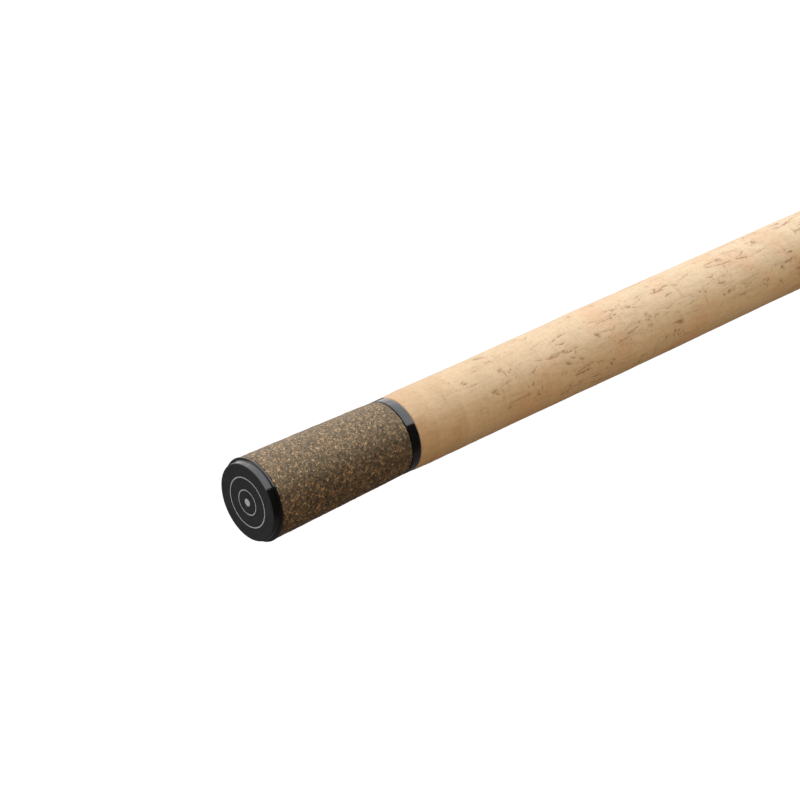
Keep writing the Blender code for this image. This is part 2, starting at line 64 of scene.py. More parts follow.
for left_over in list(bpy.data.objects):
    if left_over.type in ("MESH", "LIGHT", "CAMERA") and "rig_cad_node" not in left_over:
        bpy.data.objects.remove(left_over)


# ------------------------------------------------------------ camera and set
def camera():
    """135 mm lens at the handle's butt end, a little above it."""
    pixels, focal = 800.0, 3000.0
    yaw, pitch, roll = (math.radians(a) for a in (49.725, 27.814, -2.636))
    across, down, ahead = 247.22, 502.60, 947.46
    d = Vector((math.cos(yaw) * math.cos(pitch), math.sin(yaw) * math.cos(pitch),
                -math.sin(pitch)))
    right = Vector((math.sin(yaw), -math.cos(yaw), 0.0))
    up = right.cross(d)
    r2 = right * math.cos(roll) + up * math.sin(roll)
    u2 = -right * math.sin(roll) + up * math.cos(roll)
    place = -(r2 * ((across - pixels / 2) / focal * ahead)
              + u2 * (-(down - pixels / 2) / focal * ahead) + d * ahead)
    data = bpy.data.cameras.new("camera")
    data.sensor_width = 36.0
    data.lens = 36.0 * focal / pixels
    data.clip_start, data.clip_end = 0.05, 300.0
    obj = bpy.data.objects.new("camera", data)
    obj.matrix_world = Matrix((
        (r2.x, u2.x, -d.x, place.x * MM), (r2.y, u2.y, -d.y, place.y * MM),
        (r2.z, u2.z, -d.z, place.z * MM), (0.0, 0.0, 0.0, 1.0)))
    bpy.context.scene.collection.objects.link(obj)
    bpy.context.scene.camera = obj


KEY = 1.36  # brightness of the overhead softbox
KEY_TINT = (0.94, 1.03, 1.13)
BACKDROP = 1.22  # the white sweep behind the rod, seen in its top edge
FILLS = ((-60.0, 0.78), (0.0, 0.41), (35.0, 0.33))  # angle over the horizon, brightness
FILL_TINT = (1.0, 0.80, 0.53)
BENEATH = 0.085
BEHIND_BELOW = 0.15
FRONT = 0.025


def softbox(name, middle, size, tilt, radiance, tint=(1.0, 1.0, 1.0)):
    """A flat light as long as the studio, turned about X by tilt degrees from
    facing down. Places and sizes are in metres."""
    data = bpy.data.lights.new(name, "AREA")
    data.shape = "RECTANGLE"
    data.size, data.size_y = size
    data.energy = radiance * math.pi * size[0] * size[1]
    data.color = tint
    obj = bpy.data.objects.new(name, data)
    obj.location = middle
    obj.rotation_euler = (math.radians(tilt), 0.0, 0.0)
    obj.visible_camera = False
    bpy.context.scene.collection.objects.link(obj)
    return obj


def set_piece(name, mesh, material):
    """A floor or wall of the studio: seen by the camera, with no light of its
    own on the rod."""
    obj = bpy.data.objects.new(name, mesh)
    bpy.context.scene.collection.objects.link(obj)
    obj.data.materials.append(material)
    obj.visible_diffuse = obj.visible_glossy = False
    obj.visible_transmission = obj.visible_shadow = False
    return obj


def studio():
    scene = bpy.context.scene
    scene.view_settings.view_transform = "Standard"
    scene.view_settings.look = "None"
    softbox("overhead_softbox", (2.0, 0.075, 1.2), (10.0, 2.55), 0.0, KEY, KEY_TINT)
    # warm strips in front fill the shadow side without showing in the gloss
    for number, (degrees, radiance) in enumerate(FILLS, 1):
        up = math.radians(degrees)
        fill = softbox(f"front_fill_{number}",
                       (2.0, -1.2 * math.cos(up), 1.2 * math.sin(up)), (10.0, 0.7),
                       90.0 - degrees, radiance, FILL_TINT)
        fill.visible_glossy = False

    world = bpy.data.worlds.new("studio")
    scene.world = world
    world.use_nodes = True
    tree = world.node_tree
    tree.nodes.clear()
    add = tree.nodes.new
    # light by direction: white sweep behind, dark on the camera's side
    where = add("ShaderNodeTexCoord")
    parts = add("ShaderNodeSeparateXYZ")
    tree.links.new(where.outputs["Generated"], parts.inputs[0])
    front = add("ShaderNodeMath")
    front.operation = "MULTIPLY"
    front.inputs[1].default_value = -1.0
    tree.links.new(parts.outputs["Y"], front.inputs[0])
    angle = add("ShaderNodeMath")
    angle.operation = "ARCTAN2"
    tree.links.new(parts.outputs["Z"], angle.inputs[0])
    tree.links.new(front.outputs[0], angle.inputs[1])
    share = add("ShaderNodeMapRange")
    share.inputs["From Min"].default_value = -math.pi
    share.inputs["From Max"].default_value = math.pi
    tree.links.new(angle.outputs[0], share.inputs["Value"])
    ramp = add("ShaderNodeValToRGB")
    ramp.color_ramp.interpolation = "LINEAR"
    stops = ((-180, BACKDROP), (-172, BEHIND_BELOW), (-125, BENEATH), (-48, BENEATH),
             (-24, FRONT), (134, FRONT), (141, BACKDROP), (180, BACKDROP))
    elements = ramp.color_ramp.elements
    while len(elements) > 1:
        elements.remove(elements[0])
    for i, (degrees, value) in enumerate(stops):
        at = (degrees + 180.0) / 360.0
        element = elements[0] if i == 0 else elements.new(at)
        element.position = at
        element.color = (value, value, value, 1.0)
    tree.links.new(share.outputs["Result"], ramp.inputs["Fac"])
    back = add("ShaderNodeBackground")
    tree.links.new(ramp.outputs["Color"], back.inputs["Color"])
    out = add("ShaderNodeOutputWorld")
    tree.links.new(back.outputs[0], out.inputs["Surface"])

    white = bpy.data.materials.new("studio_white")
    white.use_nodes = True
    nodes = white.node_tree.nodes
    nodes.clear()
    glow = nodes.new("ShaderNodeEmission")
    glow.inputs["Color"].default_value = (1.0, 1.0, 1.0, 1.0)
    glow.inputs["Strength"].default_value = 1.02
    end = nodes.new("ShaderNodeOutputMaterial")
    white.node_tree.links.new(glow.outputs[0], end.inputs["Surface"])
    wall, rows, columns = [], 24, 48
    for i in range(rows + 1):
        polar = math.pi * i / rows
        for j in range(columns):
            turn = 2 * math.pi * j / columns
            wall.append((60 * math.sin(polar) * math.cos(turn),
                         60 * math.sin(polar) * math.sin(turn), 60 * math.cos(polar)))
    faces = [(i * columns + j, i * columns + (j + 1) % columns,
              (i + 1) * columns + (j + 1) % columns, (i + 1) * columns + j)
             for i in range(rows) for j in range(columns)]
    dome = bpy.data.meshes.new("studio_wall")
    dome.from_pydata(wall, [], faces)
    dome.validate()
    set_piece("studio_wall", dome, white)

    pale = bpy.data.materials.new("studio_floor")
    pale.use_nodes = True
    nodes = pale.node_tree.nodes
    shader = nodes["Principled BSDF"]
    # just white, so that the thin tip and guides don't drown in it
    shader.inputs["Base Color"].default_value = (0.05, 0.05, 0.05, 1.0)
    shader.inputs["Roughness"].default_value = 0.9
    shader.inputs["Specular IOR Level"].default_value = 0.0
    shader.inputs["Emission Color"].default_value = (1.0, 1.0, 1.0, 1.0)
    shader.inputs["Emission Strength"].default_value = 1.0
    ground = bpy.data.meshes.new("studio_floor")
    ground.from_pydata([(-40, -40, -0.45), (40, -40, -0.45), (40, 40, -0.45),
                        (-40, 40, -0.45)], [], [(0, 1, 2, 3)])
    set_piece("studio_floor", ground, pale)


# ----------------------------------------------------------------- materials
class Shader:
    """A material with short ways to add nodes to it. Its coordinates are the
    object's own, in millimetres."""

    def __init__(self, name, colour=(0.5, 0.5, 0.5), roughness=0.5, **sockets):
        self.material = bpy.data.materials.new(name)
        self.material.use_nodes = True
        self.tree = self.material.node_tree
        self.bsdf = self.tree.nodes["Principled BSDF"]
        self.set("Base Color", (*colour, 1.0))
        self.set("Roughness", roughness)
        for key, value in sockets.items():
            self.set(key.replace("_", " "), value)
        self.place = None

    def set(self, socket, value):
        if hasattr(value, "is_linked"):
            self.tree.links.new(value, self.bsdf.inputs[socket])
        else:
            self.bsdf.inputs[socket].default_value = value

    def add(self, kind, inputs=(), **props):
        node = self.tree.nodes.new(kind)
        for key, value in props.items():
            setattr(node, key, value)
        for key, value in dict(inputs).items():
            if hasattr(value, "is_linked"):
                self.tree.links.new(value, node.inputs[key])
            else:
                node.inputs[key].default_value = value
        return node

    def at(self, stretch=(1.0, 1.0, 1.0)):
        if self.place is None:
            self.place = self.add("ShaderNodeTexCoord").outputs["Object"]
        return self.add("ShaderNodeMapping",
                        {"Vector": self.place, "Scale": [1000.0 * s for s in stretch]}
                        ).outputs[0]

    def noise(self, scale, detail=2.0, roughness=0.5, stretch=(1, 1, 1), distortion=0.0):
        return self.add("ShaderNodeTexNoise",
                        {"Vector": self.at(stretch), "Scale": scale, "Detail": detail,
                         "Roughness": roughness, "Distortion": distortion}).outputs["Fac"]

    def span(self, value, low, high, to_low=0.0, to_high=1.0, smooth=True):
        return self.add("ShaderNodeMapRange",
                        {"Value": value, "From Min": low, "From Max": high,
                         "To Min": to_low, "To Max": to_high},
                        interpolation_type="SMOOTHSTEP" if smooth else "LINEAR"
                        ).outputs["Result"]

    def ramp(self, value, stops, interpolation="LINEAR"):
        node = self.add("ShaderNodeValToRGB", {"Fac": value})
        node.color_ramp.interpolation = interpolation
        elements = node.color_ramp.elements
        while len(elements) > 1:
            elements.remove(elements[0])
        for i, (at, colour) in enumerate(stops):
            element = elements[0] if i == 0 else elements.new(at)
            element.position = at
            element.color = (*colour, 1.0)
        return node.outputs["Color"]

    def mix(self, share, a, b, blend="MIX"):
        node = self.add("ShaderNodeMix", data_type="RGBA", blend_type=blend)
        for socket, value in ((node.inputs[0], share), (node.inputs[6], a),
                              (node.inputs[7], b)):
            if hasattr(value, "is_linked"):
                self.tree.links.new(value, socket)
            else:
                socket.default_value = (*value, 1.0) if hasattr(value, "__len__") else value
        return node.outputs[2]

    def math(self, operation, a, b=0.0, clamp=False):
        node = self.add("ShaderNodeMath", {0: a, 1: b}, operation=operation,
                        use_clamp=clamp)
        return node.outputs[0]

    def mask(self, name):
        return self.add("ShaderNodeAttribute", attribute_name=name,
                        attribute_type="GEOMETRY").outputs["Fac"]

    def bump(self, height, strength, distance, under=None):
        inputs = {"Height": height, "Strength": strength, "Distance": distance * MM}
        if under is not None:
            inputs["Normal"] = under
        return self.add("ShaderNodeBump", inputs).outputs["Normal"]

    def done(self, colour=None, roughness=None, normal=None):
        for socket, value in (("Base Color", colour), ("Roughness", roughness),
                              ("Normal", normal)):
            if value is not None:
                self.set(socket, value)
        return self.material


def natural_cork():
    s = Shader("natural_cork", roughness=0.6, Specular_IOR_Level=1.0, Coat_Weight=1.0,
               Coat_Roughness=0.6)
    tan, rose, olive = (0.835, 0.585, 0.322), (0.835, 0.520, 0.262), (0.785, 0.562, 0.304)
    broad = s.noise(0.055, 2.0, 0.55)
    other = s.noise(0.085, 2.0, 0.5, (1.0, 0.9, 1.1))
    colour = s.mix(s.span(broad, 0.48, 0.68), tan, rose)
    colour = s.mix(s.span(other, 0.54, 0.75), colour, olive)
    # each ring of cork has its own tone, pale to brown
    tone = s.mix(s.mask("tone"), (1.07, 1.06, 1.05), (0.84, 0.70, 0.52))
    colour = s.mix(1.0, colour, tone, "MULTIPLY")
    # growth bands and grain
    bands = s.noise(0.55, 2.0, 0.6, (1.0, 0.16, 0.16))
    colour = s.mix(s.span(bands, 0.35, 0.75, 0.0, 0.28), colour,
                   s.mix(1.0, colour, (0.84, 0.78, 0.70), "MULTIPLY"))
    streaks = s.noise(0.9, 3.0, 0.6, (0.22, 1.0, 1.0))
    colour = s.mix(s.span(streaks, 0.46, 0.70, 0.0, 0.42), colour,
                   s.mix(1.0, colour, (0.84, 0.72, 0.58), "MULTIPLY"))
    smudge = s.noise(0.24, 2.0, 0.5, (0.5, 1.0, 1.0))
    colour = s.mix(s.span(smudge, 0.62, 0.76, 0.0, 0.40), colour,
                   s.mix(1.0, colour, (0.86, 0.70, 0.54), "MULTIPLY"))
    grain = s.noise(1.5, 4.0, 0.65)
    colour = s.mix(s.span(grain, 0.40, 0.68, 0.0, 0.50), colour,
                   s.mix(1.0, colour, (0.82, 0.74, 0.65), "MULTIPLY"))
    specks = s.noise(2.6, 2.0, 0.5, (0.6, 1.0, 1.0))
    colour = s.mix(s.span(specks, 0.64, 0.74, 0.0, 0.50), colour, (0.42, 0.24, 0.115))
    # pores and lenticels: soft masks on the mesh, cut sharp here with a rough edge
    fray = s.span(s.noise(1.7, 3.0, 0.62), 0.3, 0.7, -0.22, 0.22, False)
    colour = s.mix(s.mask("halo"), colour, (0.50, 0.27, 0.125))
    dark = s.span(s.math("ADD", s.mask("crack"), fray), 0.32, 0.60, 0.0, 0.88)
    deep = s.span(s.math("ADD", s.mask("crack"), fray), 0.70, 1.08)
    brown = s.mix(deep, (0.450, 0.195, 0.060), (0.200, 0.074, 0.018))
    colour = s.mix(dark, colour, brown)
    # no shine down in the pores
    rough = s.math("MAXIMUM", s.span(grain, 0.3, 0.7, 0.54, 0.70), dark)
    normal = s.bump(grain, 0.20, 0.12)
    normal = s.bump(specks, 0.12, 0.08, normal)
    return s.done(colour, rough, normal)


def composite_cork():
    s = Shader("composite_cork", roughness=0.6, Specular_IOR_Level=1.0, IOR=1.75,
               Coat_Weight=0.5, Coat_Roughness=0.6, Specular_Tint=(1.0, 0.70, 0.38, 1.0))
    warp = s.add("ShaderNodeTexNoise", {"Vector": s.at(), "Scale": 1.6, "Detail": 2.0})
    moved = s.add("ShaderNodeVectorMath", {0: warp.outputs["Color"], 1: (0.65, 0.65, 0.65)},
                  operation="MULTIPLY")
    place = s.add("ShaderNodeVectorMath", {0: s.at(), 1: moved.outputs[0]},
                  operation="ADD").outputs[0]

    def cells(scale, feature="F1"):
        return s.add("ShaderNodeTexVoronoi", {"Vector": place, "Scale": scale},
                     feature=feature)

    def pick(cell):
        return s.add("ShaderNodeSeparateColor", {"Color": cell.outputs["Color"]})

    coarse, fine = cells(1.10), cells(2.35)
    coarse_id, fine_id = pick(coarse), pick(fine)
    body = ((0.00, (0.055, 0.038, 0.022)), (0.18, (0.116, 0.080, 0.043)),
            (0.36, (0.166, 0.116, 0.063)), (0.52, (0.083, 0.061, 0.038)),
            (0.66, (0.226, 0.160, 0.088)), (0.80, (0.172, 0.108, 0.056)),
            (0.90, (0.325, 0.233, 0.132)))
    colour = s.ramp(coarse_id.outputs["Red"], body, "CONSTANT")
    small = s.ramp(fine_id.outputs["Green"],
                   ((0.00, (0.026, 0.019, 0.013)), (0.23, (0.126, 0.088, 0.047)),
                    (0.44, (0.215, 0.155, 0.085)), (0.58, (0.055, 0.040, 0.025)),
                    (0.70, (0.330, 0.175, 0.088)), (0.80, (0.325, 0.240, 0.130)),
                    (0.88, (0.520, 0.385, 0.245)), (0.945, (0.240, 0.205, 0.110)),
                    (0.965, (0.290, 0.110, 0.062))), "CONSTANT")
    share = s.span(fine_id.outputs["Blue"], 0.34, 0.42)
    colour = s.mix(share, colour, small)
    # binder between the granules
    edge = s.add("ShaderNodeTexVoronoi", {"Vector": place, "Scale": 1.10},
                 feature="DISTANCE_TO_EDGE").outputs["Distance"]
    colour = s.mix(s.span(edge, 0.012, 0.085, 0.80, 0.0), colour, (0.020, 0.014, 0.009))
    cloud = s.noise(0.12, 3.0, 0.6)
    colour = s.mix(s.span(cloud, 0.35, 0.7, 0.0, 0.45), colour,
                   s.mix(1.0, colour, (0.78, 0.74, 0.70), "MULTIPLY"))
    fleck = s.noise(3.0, 2.0, 0.6)
    colour = s.mix(s.span(fleck, 0.59, 0.67, 0.0, 0.88), colour, (0.014, 0.010, 0.007))
    fray = s.span(s.noise(2.2, 2.0, 0.6), 0.3, 0.7, -0.2, 0.2, False)
    colour = s.mix(s.span(s.math("ADD", s.mask("crack"), fray), 0.36, 0.60), colour,
                   (0.016, 0.012, 0.009))
    # granules differ in depth of tone more than in hue
    colour = s.mix(0.12, colour, (0.140, 0.102, 0.062))
    depth = s.mix(coarse_id.outputs["Blue"], (0.26, 0.232, 0.19), (1.55, 1.30, 1.03))
    colour = s.mix(1.0, colour, depth, "MULTIPLY")
    depth = s.mix(fine_id.outputs["Red"], (0.30, 0.30, 0.30), (1.80, 1.80, 1.80))
    colour = s.mix(1.0, colour, depth, "MULTIPLY")
    rough = s.span(fine_id.outputs["Red"], 0.0, 1.0, 0.88, 0.44)
    normal = s.bump(s.noise(2.2, 3.0, 0.6), 0.60, 0.20)
    return s.done(colour, rough, normal)


def moulded_black():
    """Satin moulded plastic with a very fine texture."""
    s = Shader("moulded_black", (0.022, 0.022, 0.024), 0.42, Specular_IOR_Level=0.5)
    fine = s.noise(5.0, 3.0, 0.6)
    wide = s.noise(0.35, 2.0, 0.5)
    colour = s.mix(s.span(wide, 0.3, 0.7), (0.020, 0.020, 0.022), (0.027, 0.027, 0.029))
    rough = s.span(fine, 0.3, 0.7, 0.36, 0.48)
    return s.done(colour, rough, s.bump(fine, 0.08, 0.03))


def gloss_black(name="gloss_black", colour=(0.004, 0.004, 0.004)):
    s = Shader(name, colour, 0.09, Specular_IOR_Level=0.85, Coat_Weight=0.8,
               Coat_Roughness=0.10, Specular_Tint=(1.0, 0.89, 0.79, 1.0))
    swirl = s.noise(0.9, 3.0, 0.6, (1.0, 0.25, 0.25))
    rough = s.span(swirl, 0.3, 0.75, 0.07, 0.15)
    return s.done(None, rough, s.bump(s.noise(0.5, 2.0), 0.02, 0.02))


def pale_inlay():
    s = Shader("pale_inlay", (0.52, 0.52, 0.53), 0.45, Specular_IOR_Level=0.4)
    fine = s.noise(6.0, 2.0, 0.6)
    colour = s.mix(fine, (0.48, 0.48, 0.49), (0.58, 0.58, 0.59))
    return s.done(colour, s.span(fine, 0.3, 0.7, 0.4, 0.55))


def carbon():
    """Lacquered carbon tube: fine cross weave under a clear coat."""
    s = Shader("carbon_blank", (0.012, 0.012, 0.014), 0.35, Specular_IOR_Level=0.5,
               Coat_Weight=0.9, Coat_Roughness=0.06)
    place = s.at()
    parts = s.add("ShaderNodeSeparateXYZ", {"Vector": place})
    turn = s.math("ARCTAN2", parts.outputs["Y"], parts.outputs["Z"])
    around = s.math("MULTIPLY", turn, 10.0)  # whole threads in a turn
    along = s.math("MULTIPLY", parts.outputs["X"], 1.15)
    plus = s.math("SINE", s.math("ADD", along, around))
    minus = s.math("SINE", s.math("SUBTRACT", along, around))
    weave = s.span(s.math("MULTIPLY", plus, minus), -0.6, 0.6)
    colour = s.mix(weave, (0.006, 0.006, 0.007), (0.024, 0.024, 0.027))
    haze = s.noise(0.02, 2.0)
    colour = s.mix(s.span(haze, 0.4, 0.7, 0.0, 0.4), colour, (0.013, 0.013, 0.015))
    rough = s.span(weave, 0.0, 1.0, 0.28, 0.45)
    return s.done(colour, rough, s.bump(weave, 0.05, 0.04))


def thread_wrap():
    """Black whipping thread seen through clear varnish."""
    s = Shader("thread_wrap", (0.008, 0.008, 0.009), 0.4, Specular_IOR_Level=0.5,
               Coat_Weight=1.0, Coat_Roughness=0.04)
    parts = s.add("ShaderNodeSeparateXYZ", {"Vector": s.at()})
    turns = s.math("SINE", s.math("MULTIPLY", parts.outputs["X"], 2 * math.pi / 0.28))
    lines = s.span(turns, -0.8, 0.8)
    colour = s.mix(lines, (0.003, 0.003, 0.004), (0.028, 0.028, 0.030))
    pool = s.noise(0.18, 2.0)
    return s.done(colour, s.span(pool, 0.3, 0.7, 0.32, 0.45), s.bump(lines, 0.2, 0.04))


def dark_metal(name, colour, roughness, stretch=(1.0, 0.05, 0.05)):
    """Turned and plated metal with fine lines round it."""
    s = Shader(name, colour, roughness, Metallic=1.0)
    lines = s.noise(6.0, 3.0, 0.6, stretch)
    patch = s.noise(0.12, 2.0)
    bright = tuple(min(1.0, c * 1.22) for c in colour)
    shade = s.mix(s.span(lines, 0.3, 0.7), colour, bright)
    shade = s.mix(s.span(patch, 0.4, 0.8, 0.0, 0.3), shade, tuple(c * 0.8 for c in colour))
    rough = s.span(lines, 0.3, 0.7, roughness * 0.9, roughness * 1.2)
    return s.done(shade, rough, s.bump(lines, 0.035, 0.03))


def ceramic():
    s = Shader("guide_ceramic", (0.018, 0.019, 0.022), 0.12, Specular_IOR_Level=0.75)
    mottle = s.noise(3.0, 2.0)
    colour = s.mix(mottle, (0.014, 0.015, 0.018), (0.030, 0.032, 0.036))
    return s.done(colour, s.span(mottle, 0.3, 0.7, 0.08, 0.16))


def bare_tube(name, colour):
    """Sanded fibre: arbors and the spigot's matt surface."""
    s = Shader(name, colour, 0.7, Specular_IOR_Level=0.35)
    lines = s.noise(2.0, 3.0, 0.6, (1.0, 0.1, 0.1))
    shade = s.mix(s.span(lines, 0.3, 0.7), tuple(c * 0.8 for c in colour),
                  tuple(min(1.0, c * 1.25) for c in colour))
    return s.done(shade, s.span(lines, 0.3, 0.7, 0.6, 0.8), s.bump(lines, 0.1, 0.03))


# ------------------------------------------------------------------ mesh code
def build(name, points, quads, triangles=(), bands=None, materials=(), masks=None,
          sharp=35.0):
    """A mesh object from arrays of points in millimetres and of face corners."""
    mesh = bpy.data.meshes.new(name)
    quads = np.asarray(quads, np.int32).reshape(-1, 4)
    triangles = np.asarray(triangles, np.int32).reshape(-1, 3)
    mesh.vertices.add(len(points))
    mesh.vertices.foreach_set("co", (np.asarray(points, np.float64) * MM)
                              .astype(np.float32).ravel())
    corners = np.concatenate([quads.ravel(), triangles.ravel()])
    sizes = np.concatenate([np.full(len(quads), 4), np.full(len(triangles), 3)])
    mesh.loops.add(len(corners))
    mesh.loops.foreach_set("vertex_index", corners.astype(np.int32))
    mesh.polygons.add(len(sizes))
    starts = np.concatenate([[0], np.cumsum(sizes)[:-1]]) if len(sizes) else sizes
    mesh.polygons.foreach_set("loop_start", starts.astype(np.int32))
    if bands is not None:
        mesh.polygons.foreach_set("material_index", np.asarray(bands, np.int32))
    for material in materials:
        mesh.materials.append(material)
    for key, values in (masks or {}).items():
        layer = mesh.attributes.new(key, "FLOAT", "POINT")
        layer.data.foreach_set("value", np.asarray(values, np.float32).ravel())
    mesh.update(calc_edges=True)
    mesh.validate()
    mesh.shade_smooth()
    mesh.set_sharp_from_angle(angle=math.radians(sharp))
    obj = bpy.data.objects.new(name, mesh)
    bpy.context.scene.collection.objects.link(obj)
    return obj


def ring_faces(rows, sides, wrap=False, first=0):
    """Quads between rows of points round the rod, facing out when x rises."""
    j = np.arange(sides)
    k = (j + 1) % sides
    count = rows if wrap else rows - 1
    a = (np.arange(count) * sides)[:, None]
    b = ((np.arange(count) + 1) % rows * sides)[:, None]
    quads = np.stack([a + j, b + j, b + k, a + k], -1)
    return first + quads.reshape(-1, 4)


def circle(sides, offset=0.0):
    turn = 2 * math.pi * (np.arange(sides) + offset) / sides
    return np.sin(turn), np.cos(turn)


def rounded(profile, steps=4):
    """A profile of (x, radius, cut) with each corner rounded over its cut."""
    out = []
    points = [np.array(p[:2], float) for p in profile]
    for i, (p, (_, _, cut)) in enumerate(zip(points, profile)):
        if cut <= 0 or i in (0, len(points) - 1):
            out.append(tuple(p))
            continue
        a, b = points[i - 1] - p, points[i + 1] - p
        a = p + a / np.linalg.norm(a) * min(cut, np.linalg.norm(a) * 0.48)
        b = p + b / np.linalg.norm(b) * min(cut, np.linalg.norm(b) * 0.48)
        for t in np.linspace(0, 1, steps + 1):
            out.append(tuple(a * (1 - t) ** 2 + 2 * p * t * (1 - t) + b * t * t))
    return out


def turned(outer, inner, sides, axis_z=0.0, bands=None, steps=4):
    """Points and faces of a piece turned about a line along X. The outer profile
    runs from the butt end to the tip end and the inner one too; without inner
    it is solid and the profile starts and ends on the axis."""
    chain = rounded(outer, steps)
    if inner:
        chain += rounded(inner, steps)[::-1]
    sn, cs = circle(sides)
    points, ids = [], []
    for x, r in chain:
        if r <= 1e-9:
            ids.append(("pole", len(points)))
            points.append((x, 0.0, axis_z))
        else:
            ids.append(("ring", len(points)))
            points += [(x, r * a, axis_z + r * b) for a, b in zip(sn, cs)]
    quads, triangles, marks, marks_t = [], [], [], []
    pairs = list(zip(ids, ids[1:] + ids[:1])) if inner else list(zip(ids, ids[1:]))
    j = np.arange(sides)
    k = (j + 1) % sides
    for n, ((ka, a), (kb, b)) in enumerate(pairs):
        mark = bands(chain[n], chain[(n + 1) % len(chain)]) if bands else 0
        if ka == kb == "ring":
            quads.append(np.stack([a + j, b + j, b + k, a + k], -1))
            marks += [mark] * sides
        elif ka == "pole":
            triangles.append(np.stack([np.full(sides, a), b + j, b + k], -1))
            marks_t += [mark] * sides
        elif kb == "pole":
            triangles.append(np.stack([a + j, np.full(sides, b), a + k], -1))
            marks_t += [mark] * sides
    return (np.array(points), np.concatenate(quads),
            np.concatenate(triangles) if triangles else np.zeros((0, 3), int),
            marks + marks_t)


def lathe(name, outer, inner, sides, materials, axis_z=0.0, bands=None, steps=4):
    points, quads, triangles, marks = turned(outer, inner, sides, axis_z, bands, steps)
    return build(name, points, quads, triangles, marks, materials)


def swept(points, radius, sides=14):
    """Points and faces of a round wire along a line of places."""
    points = np.asarray(points, float)
    run = np.gradient(points, axis=0)
    run /= np.linalg.norm(run, axis=1)[:, None]
    side = np.cross(run[0], (0.0, 1.0, 0.0))
    if np.linalg.norm(side) < 0.1:
        side = np.cross(run[0], (0.0, 0.0, 1.0))
    turn = 2 * math.pi * np.arange(sides) / sides
    rings = []
    for place, ahead in zip(points, run):
        side = side - ahead * side.dot(ahead)
        side /= np.linalg.norm(side)
        other = np.cross(ahead, side)
        rings.append(place + radius * (np.cos(turn)[:, None] * side
                                       + np.sin(turn)[:, None] * other))
    out = np.concatenate([np.concatenate(rings), points[:1], points[-1:]])
    count = len(points)
    j = np.arange(sides)
    k = (j + 1) % sides
    quads = np.concatenate([np.stack([a * sides + j, a * sides + k, (a + 1) * sides + k,
                                      (a + 1) * sides + j], -1) for a in range(count - 1)])
    first, last = np.full(sides, count * sides), np.full(sides, count * sides + 1)
    end = (count - 1) * sides
    caps = np.concatenate([np.stack([first, k, j], -1), np.stack([last, end + j, end + k], -1)])
    return out, quads, caps


def joined(pieces):
    """One set of points and faces from several."""
    points, quads, triangles, first = [], [], [], 0
    for piece in pieces:
        points.append(np.asarray(piece[0], float).reshape(-1, 3))
        quads.append(np.asarray(piece[1], int).reshape(-1, 4) + first)
        triangles.append(np.asarray(piece[2], int).reshape(-1, 3) + first)
        first += len(points[-1])
    return np.concatenate(points), np.concatenate(quads), np.concatenate(triangles)


def loft(rings, closed=False):
    """Points and faces from rows of points round the rod. A closed loft joins
    its last row to its first; an open one has flat fans at both ends."""
    rings = np.asarray(rings, float)
    rows, sides = rings.shape[:2]
    points = rings.reshape(-1, 3)
    quads = ring_faces(rows, sides, closed)
    if closed:
        return points, quads, np.zeros((0, 3), int)
    middles = np.stack([rings[0].mean(0), rings[-1].mean(0)])
    j = np.arange(sides)
    k = (j + 1) % sides
    end = (rows - 1) * sides
    fans = np.concatenate([
        np.stack([np.full(sides, len(points)), j, k], -1),
        np.stack([end + j, np.full(sides, len(points) + 1), end + k], -1)])
    return np.concatenate([points, middles]), quads, fans


def block(low, high, cut=0.15):
    """Points and faces of a box with rounded edges along X."""
    (x0, y0, z0), (x1, y1, z1) = low, high
    yc, zc, hy, hz = (y0 + y1) / 2, (z0 + z1) / 2, (y1 - y0) / 2, (z1 - z0) / 2
    turn = 2 * math.pi * (np.arange(24) + 0.5) / 24
    y = np.clip(1.6 * np.sin(turn), -1, 1)
    z = np.clip(1.6 * np.cos(turn), -1, 1)

    def ring(x, less):
        return np.stack([np.full(24, x), yc + (hy - less) * y, zc + (hz - less) * z], -1)

    return loft([ring(x0, cut), ring(x0 + cut, 0.0), ring(x1 - cut, 0.0), ring(x1, cut)])


def install(name, arrays, material, node, body, sharp=35.0):
    """Builds a piece, hides the frame node it stands for and fixes the piece to its body."""
    piece = build(name, *arrays, materials=[material], sharp=sharp)
    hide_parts(node)
    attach(piece, body)
    return piece


def field(rng, shape, spacing, size):
    """A smooth random field with no mean and unit spread, periodic round the
    rod. size is the blur along and around, in millimetres."""
    white = rng.standard_normal(shape)
    fx = np.fft.fftfreq(shape[0], spacing[0])[:, None]
    fa = np.fft.rfftfreq(shape[1], spacing[1])[None, :]
    keep = np.exp(-2 * math.pi ** 2 * ((size[0] * fx) ** 2 + (size[1] * fa) ** 2))
    smooth = np.fft.irfft2(np.fft.rfft2(white) * keep, shape)
    smooth -= smooth.mean()
    return smooth / smooth.std()


def blur(values, spacing, size):
    fx = np.fft.fftfreq(values.shape[0], spacing[0])[:, None]
    fa = np.fft.rfftfreq(values.shape[1], spacing[1])[None, :]
    keep = np.exp(-2 * math.pi ** 2 * ((size * fx) ** 2 + (size * fa) ** 2))
    return np.fft.irfft2(np.fft.rfft2(values) * keep, values.shape)


